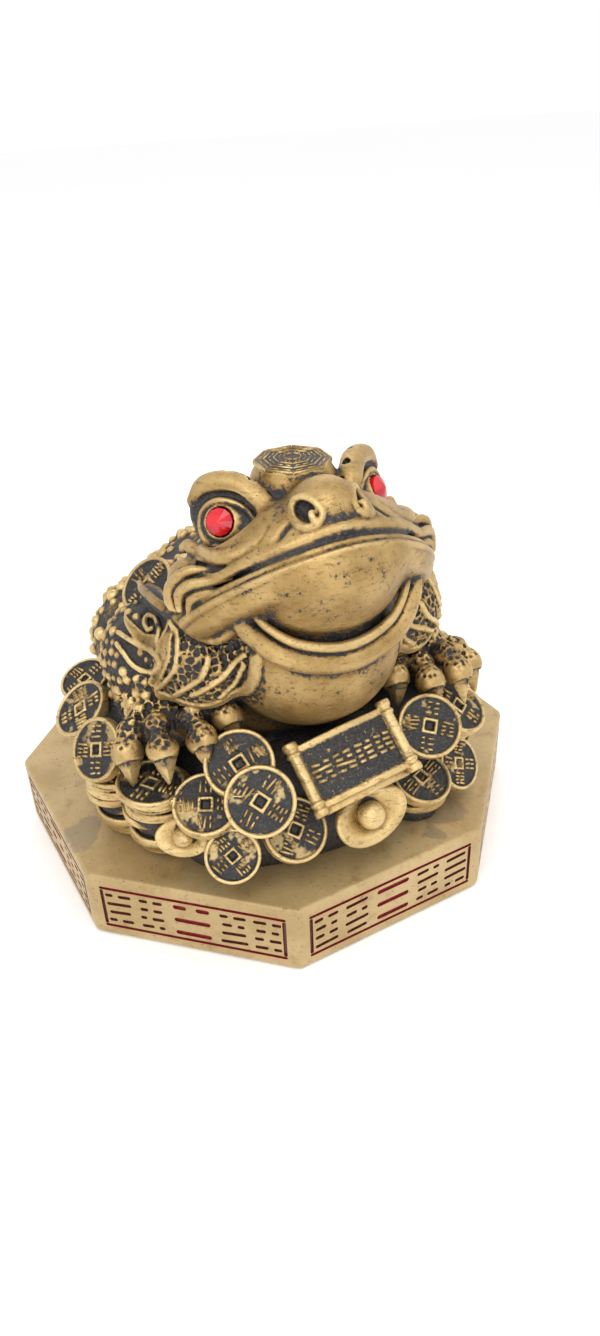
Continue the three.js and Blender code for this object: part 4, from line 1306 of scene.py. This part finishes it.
def dress(name, clay, other, ink_and_shadow):
    """The skin of one clay as a finished piece, without what is buried in the other one."""
    points, faces = skin_of(clay)
    top = other.low[2] + PITCH * (other.size[2] - 1)
    hidden = (other.read(points) < -BURIED) & (points[:, 2] < top) & (points[:, 2] > 0.5)
    faces = faces[~hidden[faces].all(axis=1)]
    used, faces = np.unique(faces, return_inverse=True)
    mesh = thinned(mesh_from(name, points[used], faces.reshape(-1, 4)), MOST_TRIANGLES)
    mesh.name = name
    points = np.empty(len(mesh.vertices) * 3, np.float32)
    mesh.vertices.foreach_get("co", points)
    points = points.reshape(-1, 3) / MM
    for _ in range(2):
        step = np.clip(clay.read(points), -0.3, 0.3)
        points = points - step[:, None] * clay.slope(points)
    points[:, 2] = np.maximum(points[:, 2], 0)
    normals = clay.slope(points)
    values = {key: toad.read(points, grid) * 2 - 1 for key, grid in hollow_grids.items()}
    values["proud"] = clay.read(points, clay.smooth)
    values["ink_and_shadow"] = ink_and_shadow(points)
    for key, value in values.items():
        mesh.attributes.new(key, "FLOAT", "POINT").data.foreach_set("value", value.astype(np.float32))
    places = mesh.attributes.new("coin_place", "FLOAT_VECTOR", "POINT")
    places.data.foreach_set("vector", coin_places(points).ravel())
    mesh.vertices.foreach_set("co", ((points @ TURN.T + LIFT) * MM).astype(np.float32).ravel())
    mesh.polygons.foreach_set("use_smooth", np.ones(len(mesh.polygons), bool))
    mesh.update()
    mesh.normals_split_custom_set_from_vertices((normals @ TURN.T).tolist())
    piece = bpy.data.objects.new(name, mesh)
    bpy.context.scene.collection.objects.link(piece)
    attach(piece, "root")
    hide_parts("toad_on_coins")
    print(name, "has", len(mesh.polygons), "faces; box in mm", np.round(points.min(axis=0), 1),
          np.round(points.max(axis=0), 1))
    return piece


toad_piece = dress("squatting_toad", toad, heap, toad_ink_and_shadow)
heap_piece = dress("coin_heap", heap, toad, inked_heap)

# %% [markdown]
# ## Raised strokes
# Coins, scroll and disc carry raised strokes and lines, here in plain rows. On the real casting such
# relief is crisp, and the clay's grid would round it off, so the strokes are small blocks of their own
# with slanted sides, as they need to come out of a mould. One that would be buried, or would hang over
# an edge, is left out.

# %% Define strokes and blocks of strokes
STROKE_WIDTH = 0.72
STROKE_SLANT = 0.16
sign_points = []


def lay_stroke(place, matrix, surface, x, y, half, angle=0.0, wide=STROKE_WIDTH, tall=0.6):
    """One bar, as its four lower and four upper corners in the toad's frame, unless it is buried."""
    c, s = math.cos(angle), math.sin(angle)
    ends = [(x + p * c, y + p * s) for p in (-half, 0, half)]
    ends = np.array([place + matrix @ np.array([u, v, float(surface(u, v))]) for u, v in ends])
    corners = []
    for level, inset in ((-0.4, 0.0), (tall, STROKE_SLANT)):
        for a, b in ((-1, -1), (1, -1), (1, 1), (-1, 1)):
            p, q = a * (half - inset), b * (wide / 2 - inset)
            u, v = x + p * c - q * s, y + p * s + q * c
            corners.append(place + matrix @ np.array([u, v, float(surface(u, v)) + level]))
    upper = np.array(corners[4:])
    upper = np.vstack([upper, upper.mean(axis=0)])
    if np.abs(toad.read(ends, whole)).max() < 0.35 and toad.read(upper, whole).min() > 0.05:
        sign_points.extend(corners)


def lay_block(place, matrix, surface, x, y, size, rows, seed, wide=STROKE_WIDTH):
    """Rows of short bars that fill a square block."""
    own = np.random.default_rng(seed)
    for row in range(rows):
        line = y + ((rows - 1) / 2 - row) * size / rows
        lean = own.uniform(-0.2, 0.2)
        kind = own.integers(3)
        if kind == 0:
            lay_stroke(place, matrix, surface, x, line, size * own.uniform(0.36, 0.5), lean, wide)
            continue
        split = own.uniform(-0.14, 0.14) * size
        for side in (-1, 1):
            half = (size / 2 - side * split) / 2 * own.uniform(0.62, 0.8)
            middle = x + split + side * (size / 2 - side * split) / 2
            lay_stroke(place, matrix, surface, middle, line, half, lean, wide)


print("strokes are", STROKE_WIDTH, "mm wide with sides slanted by", STROKE_SLANT, "mm")

# %% Lay strokes on coins, scroll and disc
SCROLL_BLOCKS = 4
SCROLL_BLOCK_SPACING = 5.9
DISC_RINGS = 4
for place, matrix, size, half, seed in coins:
    if seed is None:
        continue
    field = half - COIN_SINK
    away = 0.56 * COIN_RADIUS * size
    for k, (x, y) in enumerate(((away, 0), (0, away), (-away, 0), (0, -away))):
        lay_block(place, matrix, lambda u, v: field, x, y, 4.3 * size, 3 + (seed + k) % 2, seed * 4 + k)
print(len(sign_points) // 8, "bars on coins")
for k in range(SCROLL_BLOCKS):
    along = (k - (SCROLL_BLOCKS - 1) / 2) * SCROLL_BLOCK_SPACING
    lay_block(SCROLL_PLACE, SCROLL_FRAME, lambda u, v: scroll_field(u), along, 0, 5.6, 4, 900 + k, 0.95)
flat = np.eye(3)
for ring in range(1, DISC_RINGS + 1):
    reach = DISC_RADIUS * (ring - 0.08) / DISC_RINGS
    for side in range(8):
        a = side * math.pi / 4
        middle = np.array([math.cos(a), math.sin(a)])
        half = reach * math.tan(math.pi / 8)
        lay_stroke(DISC_PLACE, flat, disc_top, *(reach * middle), half, a + math.pi / 2, 0.36, 0.3)
        if ring < DISC_RINGS:
            for part in (-1, 1):
                spot = (reach + 1.08) * middle + part * half * 0.55 * np.array([-middle[1], middle[0]])
                lay_stroke(DISC_PLACE, flat, disc_top, *spot, half * 0.42, a + math.pi / 2, 0.36, 0.2)
print(len(sign_points) // 8, "bars with those on scroll and disc")

# %% Make one piece of all the strokes
sign_points = np.array(sign_points) @ TURN.T + LIFT
count = len(sign_points) // 8
BAR_FACES = np.array([(3, 2, 1, 0), (4, 5, 6, 7), (0, 1, 5, 4), (1, 2, 6, 5), (2, 3, 7, 6), (3, 0, 4, 7)])
bar_faces = (BAR_FACES[None] + 8 * np.arange(count)[:, None, None]).reshape(-1, 4)
signs = bpy.data.objects.new("raised_signs", mesh_from("raised_signs", sign_points, bar_faces))
bpy.context.scene.collection.objects.link(signs)
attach(signs, "root")
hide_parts("toad_on_coins")
print("raised_signs has", len(signs.data.polygons), "faces")

# %% [markdown]
# ## The plinth's block
# The plinth is an eight-sided block with soft edges. It has flat sides and true corners, so here a
# plain mesh is better than clay: eight points, extruded to the plinth's height and bevelled.

# %% Build the block
PLINTH_ACROSS = 138.6
PLINTH_ROUND = 1.2
SIDES = 8
SIDE_LENGTH = PLINTH_ACROSS * math.tan(math.pi / SIDES)


def plinth_block():
    """The block as an open mesh, in millimetres."""
    form = bmesh.new()
    corner = PLINTH_ACROSS / 2 / math.cos(math.pi / SIDES)
    spots = [(k + 0.5) * 2 * math.pi / SIDES for k in range(SIDES)]
    low = [form.verts.new((corner * math.cos(a), corner * math.sin(a), 0)) for a in spots]
    form.faces.new(low[::-1])
    risen = bmesh.ops.extrude_face_region(form, geom=form.faces[:])
    top = [v for v in risen["geom"] if isinstance(v, bmesh.types.BMVert)]
    bmesh.ops.translate(form, verts=top, vec=(0, 0, PLINTH_HEIGHT))
    bmesh.ops.recalc_face_normals(form, faces=form.faces[:])
    bmesh.ops.bevel(form, geom=form.edges[:], offset=PLINTH_ROUND, segments=4, profile=0.5, affect="EDGES")
    return form


block = plinth_block()
print("block of", len(block.faces), "faces, each side", round(SIDE_LENGTH, 1), "mm long")

# %% [markdown]
# ## Engraving
# Each side is engraved with a frame, a trigram in the middle and rows of short strokes on both
# sides of it. The real grooves were cut with a round tool, so every groove is a shallow form with
# round ends, and a boolean modifier takes them all out of the block at once.

# %% Define a groove
GROOVE_WIDTH = 1.0
GROOVE_DEPTH = 0.6
GROOVE_POINTS = 12


def cutter(form, on_side, half_length, half_width, x, y, slant=0.0):
    """One groove with round ends in the plane of a side: x along it and y up it."""
    ring = []
    radius = min(half_length, half_width)
    c, s = math.cos(slant), math.sin(slant)
    for k in range(GROOVE_POINTS):
        a = 2 * math.pi * (k + 0.5) / GROOVE_POINTS
        px = math.copysign(half_length - radius, math.cos(a)) + radius * math.cos(a)
        py = math.copysign(half_width - radius, math.sin(a)) + radius * math.sin(a)
        ring.append((x + px * c - py * s, y + px * s + py * c))
    near = [form.verts.new(on_side(p, q, 1.0)) for p, q in ring]
    far = [form.verts.new(on_side(p, q, -GROOVE_DEPTH)) for p, q in ring]
    form.faces.new(near)
    form.faces.new(far[::-1])
    for k in range(GROOVE_POINTS):
        after = (k + 1) % GROOVE_POINTS
        form.faces.new((near[k], far[k], far[after], near[after]))


print("grooves are", GROOVE_DEPTH, "mm deep")

# %% Engrave the eight sides
PANEL_MARGIN = 3.2
BAR_WIDTH, BAR_LENGTH, BAR_SPACING, BAR_BREAK = 1.5, 10, 4.6, 2.6
MARK_HALF, MARK_WIDTH, MARK_SPACING, MARK_BREAK, MARK_SLANT = 3.8, 1.15, 3.0, 0.7, 0.05
MARK_ROWS = 4
MARK_COLUMNS = (-20.5, -11.3, 11.3, 20.5)
TRIGRAMS = ["111", "110", "010", "100", "000", "001", "101", "011"]


def engrave_side(form, side):
    """Frame, trigram and strokes of one side."""
    a = side * 2 * math.pi / SIDES

    def place(x, y, out):
        depth = -(PLINTH_ACROSS / 2 + out)
        turned_x = x * math.cos(a) - depth * math.sin(a)
        return turned_x, x * math.sin(a) + depth * math.cos(a), PLINTH_HEIGHT / 2 + y

    half_x = SIDE_LENGTH / 2 - PANEL_MARGIN - GROOVE_WIDTH / 2
    half_y = PLINTH_HEIGHT / 2 - PANEL_MARGIN - GROOVE_WIDTH / 2
    for end in (-1, 1):
        cutter(form, place, half_x + GROOVE_WIDTH / 2, GROOVE_WIDTH / 2, 0, end * half_y)
        cutter(form, place, half_y - GROOVE_WIDTH * 0.55, GROOVE_WIDTH / 2, end * half_x, 0, math.pi / 2)
    for row, line in enumerate(TRIGRAMS[side]):
        y = (1 - row) * BAR_SPACING
        if line == "1":
            cutter(form, place, BAR_LENGTH / 2, BAR_WIDTH / 2, 0, y)
        else:
            half = (BAR_LENGTH - BAR_BREAK) / 4
            for end in (-1, 1):
                cutter(form, place, half, BAR_WIDTH / 2, end * (half + BAR_BREAK / 2), y)
    for number, middle in enumerate(MARK_COLUMNS):
        own = np.random.default_rng(300 + 10 * side + number)
        for row in range(MARK_ROWS):
            y = ((MARK_ROWS - 1) / 2 - row) * MARK_SPACING
            share = own.uniform(0.8, 1)
            if own.random() < 0.45:
                cutter(form, place, MARK_HALF * share, MARK_WIDTH / 2, middle, y, MARK_SLANT)
            else:
                split = own.uniform(-0.9, 0.9)
                for end in (-1, 1):
                    half = (MARK_HALF * share - end * split) / 2 - MARK_BREAK / 2
                    x = middle + split + end * (half + MARK_BREAK)
                    cutter(form, place, half, MARK_WIDTH / 2, x, y, MARK_SLANT)


engraving = bmesh.new()
for side in range(SIDES):
    engrave_side(engraving, side)
bmesh.ops.recalc_face_normals(engraving, faces=engraving.faces[:])
print("engraving of", len(engraving.faces) // (GROOVE_POINTS + 2), "grooves")


# %% Cut the engraving
def object_from(form, name):
    """An object in metres from an open mesh in millimetres."""
    mesh = bpy.data.meshes.new(name)
    bmesh.ops.scale(form, verts=form.verts[:], vec=(MM, MM, MM))
    form.to_mesh(mesh)
    form.free()
    made = bpy.data.objects.new(name, mesh)
    bpy.context.scene.collection.objects.link(made)
    return made


plinth = object_from(block, "engraved_plinth")
tools = object_from(engraving, "engraving_tools")
carve = plinth.modifiers.new("carve", "BOOLEAN")
carve.object = tools
carve.operation = "DIFFERENCE"
carve.solver = "EXACT"
carved = bpy.data.meshes.new_from_object(plinth.evaluated_get(bpy.context.evaluated_depsgraph_get()))
plinth.modifiers.clear()
plinth.data = carved
bpy.data.objects.remove(tools)
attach(plinth, "root")
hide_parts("plinth")
print("engraved_plinth has", len(carved.polygons), "faces")

# %% [markdown]
# ## Paint in the grooves
# The grooves are filled with dark red, and the trigrams are redder than the strokes beside them. A
# face that lies deeper than its side, within the frame, belongs to a groove and stores how red it
# is.

# %% Find the painted faces
painted = []
angles = [k * 2 * math.pi / SIDES for k in range(SIDES)]
for face in carved.polygons:
    x, y, z = np.array(face.center) / MM
    out, turn = max((x * math.sin(a) - y * math.cos(a), a) for a in angles)
    along = x * math.cos(turn) + y * math.sin(turn)
    in_panel = abs(along) < SIDE_LENGTH / 2 - PANEL_MARGIN + 0.2
    in_panel &= abs(z - PLINTH_HEIGHT / 2) < PLINTH_HEIGHT / 2 - PANEL_MARGIN + 0.2
    sunk = PLINTH_ACROSS / 2 - out > 0.03
    painted.append((1.0 if abs(along) < BAR_LENGTH / 2 + 0.5 else 0.6) if in_panel and sunk else 0.0)
carved.attributes.new("engraved", "FLOAT", "FACE").data.foreach_set("value", painted)
print(sum(p > 0 for p in painted), "of", len(painted), "faces are painted red")

# %% [markdown]
# ## A bench for mixing paint
# A procedural material is a tree of nodes. Laying nodes by hand in the editor shows them well, but
# in a script the same few steps come back again and again: a noise, a smooth step, a mix. The bench
# lays each with one word.

# %% Set up the bench
class Bench:
    """A node tree that is filled from left to right."""

    def __init__(self, name):
        self.material = bpy.data.materials.new(name)
        self.material.use_nodes = True
        self.tree = self.material.node_tree
        self.shader = self.tree.nodes["Principled BSDF"]

    def node(self, kind, inputs=None, **settings):
        made = self.tree.nodes.new(kind)
        for key, value in settings.items():
            setattr(made, key, value)
        for key, value in (inputs or {}).items():
            self.join(made.inputs[key], value)
        return made

    def join(self, socket, value):
        if isinstance(value, bpy.types.NodeSocket):
            self.tree.links.new(value, socket)
        else:
            socket.default_value = value

    def math(self, operation, *values):
        made = self.node("ShaderNodeMath", operation=operation)
        for socket, value in zip(made.inputs, values):
            self.join(socket, value)
        return made.outputs[0]

    def spread(self, value, start, end, low=0.0, high=1.0):
        made = self.node("ShaderNodeMapRange", {0: value, 1: start, 2: end, 3: low, 4: high})
        made.interpolation_type = "SMOOTHSTEP"
        return made.outputs[0]

    def mix(self, share, first, second):
        made = self.node("ShaderNodeMix", data_type="RGBA")
        self.join(made.inputs[0], share)
        self.join(made.inputs[6], first)
        self.join(made.inputs[7], second)
        return made.outputs[2]

    def noise(self, scale, detail=3.0, rough=0.6, stretch=None):
        place = self.node("ShaderNodeTexCoord").outputs["Object"]
        if stretch:
            place = self.node("ShaderNodeMapping", {0: place, 3: stretch}).outputs[0]
        return self.node("ShaderNodeTexNoise", {"Vector": place, "Scale": scale, "Detail": detail,
                                                "Roughness": rough}).outputs[0]

    def stored(self, name):
        return self.node("ShaderNodeAttribute", attribute_name=name).outputs["Fac"]


def colour(red, green, blue):
    """A colour from the 0 to 255 values that a screen shows."""
    return tuple((c / 255) ** 2.2 for c in (red, green, blue)) + (1.0,)


print("the gold's light tone in the renderer's values:", np.round(colour(188, 157, 104)[:3], 2))

# %% [markdown]
# ## Old gold paint
# Resin like this is painted black and then dry-brushed with gold, so the gold stays on everything
# that stands proud. On top of it comes a painted shade, brown, and a pale painted highlight that
# stands for rubbed gold too, and the gold is streaked brown where it is worn, and scratched and specked
# all over. A picture of real metal could be laid on, but noises of five sizes give wear that fits
# any form and has no seams.

# %% Mix gold over black
GOLD_NOISES = {"blotch": 110, "brushed": 300, "dent": 420, "speck": 1300, "grain": 1500}


def gold_over(bench, dark, highlight_and_rub, shade, more_brown=0.0):
    """Gold paint, black where dark is 1, a pale painted highlight and rub where the highlight is 1, and
    brown painted shade where shade is 1.
    """
    blotch = bench.noise(GOLD_NOISES["blotch"], 4)
    grain = bench.noise(GOLD_NOISES["grain"], 3, 0.7)
    brushed = bench.noise(GOLD_NOISES["brushed"], 4, 0.7, stretch=(1, 1, 4))
    gold = bench.mix(bench.spread(blotch, 0.35, 0.68), colour(160, 130, 80), colour(188, 157, 104))
    # Painted shade: the gold turns brown where shade is 1.
    gold = bench.mix(bench.math("MULTIPLY", shade, 0.75), gold, colour(120, 91, 48))
    # Painted highlight: pale gold, which stands for rubbed gold too.
    gold = bench.mix(highlight_and_rub, gold, colour(218, 190, 134))
    worn = bench.math("MULTIPLY", bench.spread(brushed, 0.54 - more_brown, 0.7 - more_brown), 0.6)
    gold = bench.mix(worn, gold, colour(104, 80, 44))
    speck = bench.spread(bench.noise(GOLD_NOISES["speck"], 3, 0.85), 0.6, 0.68, 0.0, 0.75)
    gold = bench.mix(speck, gold, colour(62, 52, 38))
    black = bench.mix(bench.spread(grain, 0.4, 0.75), colour(30, 30, 33), colour(74, 69, 62))
    bench.join(bench.shader.inputs["Base Color"], bench.mix(dark, gold, black))
    bench.join(bench.shader.inputs["Metallic"], bench.spread(dark, 0, 1, 0.75, 0.05))
    rough = bench.math("ADD", bench.spread(grain, 0.3, 0.7, 0.36, 0.5), bench.math("MULTIPLY", dark, 0.14))
    bench.join(bench.shader.inputs["Roughness"], rough)
    bump = bench.node("ShaderNodeBump", {"Strength": 0.3, "Distance": 0.0003, "Height": grain})
    dent = bench.noise(GOLD_NOISES["dent"], 3)
    soft = bench.node("ShaderNodeBump", {"Strength": 0.35, "Distance": 0.0006, "Height": dent,
                                         "Normal": bump.outputs[0]})
    bench.join(bench.shader.inputs["Normal"], soft.outputs[0])
    return bench.material


print("noise sizes in mm:", {name: round(1 / scale / MM, 1) for name, scale in GOLD_NOISES.items()})

# %% [markdown]
# ## Gold that knows the carving
# The stored values choose between gold and black. A point stays black in a hollow, on a coin's sunk
# face or where ink, or the painted shadow under the belly, was stored, and a ragged noise breaks up
# the border between the two, as a dry brush does. Heights over the smooth clay make the knobs and the
# net stand out. The same values paint a brown shade beside the hollows and a pale highlight on the
# ridges, which stands for rubbed gold too.

# %% Mix the gold for skins and strokes
def old_gold(name, core, more_brown):
    """Gold for a carved skin. Heights under core, in millimetres, stay black."""
    bench = Bench(name)
    fine, wide = bench.stored("fine_hollow"), bench.stored("wide_hollow")
    proud, ink_with_shadow = bench.stored("proud"), bench.stored("ink_and_shadow")
    place = bench.node("ShaderNodeAttribute", attribute_name="coin_place").outputs["Vector"]
    split = bench.node("ShaderNodeSeparateXYZ", {0: place}).outputs
    from_middle = bench.node("ShaderNodeVectorMath", {0: place}, operation="LENGTH").outputs["Value"]
    square = bench.math("MAXIMUM", bench.math("ABSOLUTE", split[0]), bench.math("ABSOLUTE", split[1]))
    patch = bench.noise(150, 3)
    ragged = bench.noise(700, 3, 0.75)
    inner = COIN_RADIUS - COIN_RIM
    field = bench.spread(from_middle, inner - 0.15, inner + 0.15, 1.0, 0.0)
    frame_line = bench.math("ABSOLUTE", bench.math("SUBTRACT", square, HOLE_HALF))
    field = bench.math("MULTIPLY", field, bench.spread(frame_line, 0.3, 0.45))
    field = bench.math("MULTIPLY", field, bench.spread(patch, 0.56, 0.62, 1.0, 0.25))
    hollow = bench.math("ADD", fine, bench.math("MULTIPLY", wide, 0.6))
    raised = bench.math("MINIMUM", bench.math("MAXIMUM", bench.math("SUBTRACT", proud, core), -0.8), 0.8)
    hollow = bench.math("SUBTRACT", hollow, bench.math("MULTIPLY", raised, 0.7))
    # Painted highlight: pale gold on the ridges, which stands for rubbed gold too.
    highlight_and_rub = bench.math("MULTIPLY", bench.spread(hollow, -0.75, -0.1, 1.0, 0.0),
                        bench.spread(bench.noise(60, 2), 0.35, 0.6, 0.45, 1.0))
    # Painted shade: brown gold beside the hollows.
    shade = bench.spread(hollow, -0.12, 0.12)
    hollow = bench.math("ADD", hollow, bench.spread(patch, 0.3, 0.7, -0.1, 0.1))
    hollow = bench.math("ADD", hollow, bench.spread(ragged, 0.25, 0.8, -0.2, 0.26))
    crease = bench.spread(hollow, 0.06, 0.24)
    # The stored ink is black paint, and also a painted shadow under the toad's belly.
    ink_with_shadow = bench.math("MULTIPLY", ink_with_shadow, bench.spread(ragged, 0.62, 0.7, 1.0, 0.3))
    dark = bench.math("MAXIMUM", bench.math("MAXIMUM", crease, field), ink_with_shadow)
    return gold_over(bench, dark, highlight_and_rub, shade, more_brown)


def rubbed_gold():
    """Gold for the raised bars, which the brush reaches everywhere."""
    bench = Bench("rubbed_gold")
    dark = bench.spread(bench.noise(600, 3, 0.7), 0.56, 0.7, 0.0, 0.8)
    return gold_over(bench, dark, bench.spread(bench.noise(200), 0.4, 0.7), 0.2)


finishes = [
    (toad_piece, old_gold("toad_gold", 0.0, 0.0)),
    # The heap's gold gets more brown streaks, so it comes out darker overall.
    (heap_piece, old_gold("heap_gold", 0.75, 0.03)),
    (signs, rubbed_gold()),
]
for piece, finish in finishes:
    piece.data.materials.clear()
    piece.data.materials.append(finish)
    print(finish.name, "mixed for", piece.name)

# %% [markdown]
# ## Plinth gold
# The plinth is smoother and paler than the toad, with brown tarnish, small specks and a few grey
# stains where the gold has worn off. The stains have places of their own, so they are spheres in
# space with an edge that a noise makes ragged. The stored values turn the grooves red.

# %% Mix the plinth's gold
STAINS = [((-66, -13, 21), 6), ((25, -58, 21), 6.5), ((17, -64, 21), 4), ((58, 22, 21), 5)]


def plinth_gold():
    """Pale worn gold, and red where the mesh says engraved."""
    bench = Bench("plinth_gold")
    cloud = bench.noise(45, 4)
    grain = bench.noise(1200, 3, 0.7)
    gold = bench.mix(bench.spread(cloud, 0.35, 0.65), colour(170, 144, 98), colour(190, 164, 118))
    place = bench.node("ShaderNodeTexCoord").outputs["Object"]
    ragged = bench.math("MULTIPLY", bench.math("SUBTRACT", bench.noise(110, 3, 0.5), 0.5), 0.016)
    stain = 0.0
    for spot, reach in STAINS:
        off = bench.node("ShaderNodeVectorMath", {0: place, 1: tuple(v * MM for v in spot)},
                         operation="DISTANCE").outputs["Value"]
        near = bench.spread(bench.math("ADD", off, ragged), (reach - 1.2) * MM, reach * MM, 0.65, 0.0)
        stain = bench.math("MAXIMUM", near, stain)
    gold = bench.mix(stain, gold, colour(140, 126, 104))
    tarnish = bench.math("MULTIPLY", bench.spread(bench.noise(160, 5, 0.75), 0.52, 0.72), 0.5)
    gold = bench.mix(tarnish, gold, colour(132, 104, 62))
    speck = bench.spread(bench.noise(900, 3, 0.8), 0.62, 0.7, 0.0, 0.8)
    gold = bench.mix(speck, gold, colour(84, 68, 46))
    engraved = bench.stored("engraved")
    red = bench.mix(bench.spread(engraved, 0.6, 1), colour(88, 36, 30), colour(122, 28, 36))
    red = bench.mix(bench.spread(grain, 0.5, 0.8), red, colour(140, 84, 56))
    inlay = bench.math("GREATER_THAN", engraved, 0.3)
    bench.join(bench.shader.inputs["Base Color"], bench.mix(inlay, gold, red))
    bench.join(bench.shader.inputs["Metallic"], bench.spread(inlay, 0, 1, 0.3, 0.0))
    bench.join(bench.shader.inputs["Roughness"], bench.spread(grain, 0.3, 0.7, 0.38, 0.55))
    dent = bench.noise(500, 4)
    bump = bench.node("ShaderNodeBump", {"Strength": 0.25, "Distance": 0.0003, "Height": dent})
    bench.join(bench.shader.inputs["Normal"], bump.outputs[0])
    return bench.material


plinth.data.materials.clear()
plinth.data.materials.append(plinth_gold())
print("plinth_gold has", len(STAINS), "stains")

# %% [markdown]
# ## Gem glass
# The eyes are red glass stones with flat facets. Real glass lets light through, but in its dark seat
# a deep red, glossy paint looks the same and is quicker to render. The facets are in the mesh of the
# measured frame.

# %% Mix the gem glass
def gem_glass():
    bench = Bench("gem_glass")
    cloud = bench.noise(300, 2)
    bench.join(bench.shader.inputs["Base Color"],
               bench.mix(bench.spread(cloud, 0.3, 0.7), colour(176, 10, 26), colour(214, 26, 40)))
    bench.shader.inputs["Roughness"].default_value = 0.12
    bench.shader.inputs["Coat Weight"].default_value = 0.3
    return bench.material


glass = gem_glass()
for name in ("eye_gem_left", "eye_gem_right"):
    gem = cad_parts[name]
    for slot in gem.material_slots:
        slot.material = glass
    print(name, "has", len(gem.material_slots), "slot")

# %% [markdown]
# ## Studio
# The ornament was photographed on white, in soft light from all around. It stands on a plain pale
# floor in a white room, which does most of the work. Large lamps from the left, from above and from
# the front give the soft highlights, and two more, from the right and from behind, lift the shadows.

# %% Lay the floor
floor_form = bmesh.new()
bmesh.ops.create_grid(floor_form, x_segments=1, y_segments=1, size=3000)
floor = object_from(floor_form, "studio_floor")
floor.location.z = -0.0002
paper = Bench("studio_paper")
paper.join(paper.shader.inputs["Base Color"],
           paper.mix(paper.noise(3), (0.975, 0.975, 0.98, 1), (0.99, 0.99, 0.99, 1)))
paper.shader.inputs["Roughness"].default_value = 0.9
floor.data.materials.append(paper.material)
print("floor", round(-floor.location.z / MM, 1), "mm below the plinth")

# %% Light the room
world = bpy.data.worlds.new("studio_room")
world.use_nodes = True
world.node_tree.nodes["Background"].inputs[0].default_value = (1, 1, 1, 1)
world.node_tree.nodes["Background"].inputs[1].default_value = 1.0
bpy.context.scene.world = world
bpy.context.scene.view_settings.view_transform = "Standard"
LAMPS = [
    ("key_lamp", (-0.5, -0.3, 0.7), 0.4, 1.5),
    ("side_lamp", (0.6, -0.4, 0.45), 0.5, 0.4),
    ("top_lamp", (0.0, -0.35, 0.95), 0.5, 1.6),
    ("front_lamp", (-0.3, -0.8, 0.3), 0.5, 1.2),
    ("back_lamp", (0.5, 0.8, 0.7), 0.7, 1.2),
]
for name, place, size, power in LAMPS:
    lamp = bpy.data.lights.new(name, "AREA")
    lamp.size = size
    lamp.energy = power
    made = bpy.data.objects.new(name, lamp)
    made.location = place
    made.rotation_euler = (Vector((0, 0, 0.05)) - made.location).to_track_quat("-Z", "Y").to_euler()
    bpy.context.scene.collection.objects.link(made)
print(len(LAMPS), "lamps of", round(sum(power for *_, power in LAMPS), 1), "watts in all")

# %% [markdown]
# ## Materials and lamps
# The materials and lamps in the scene are counted. The dressed part has to stay inside the
# measured frame's box.

# %% Finish the scene
print(len(bpy.data.materials), "materials and", len(bpy.data.lights), "lamps in the scene")
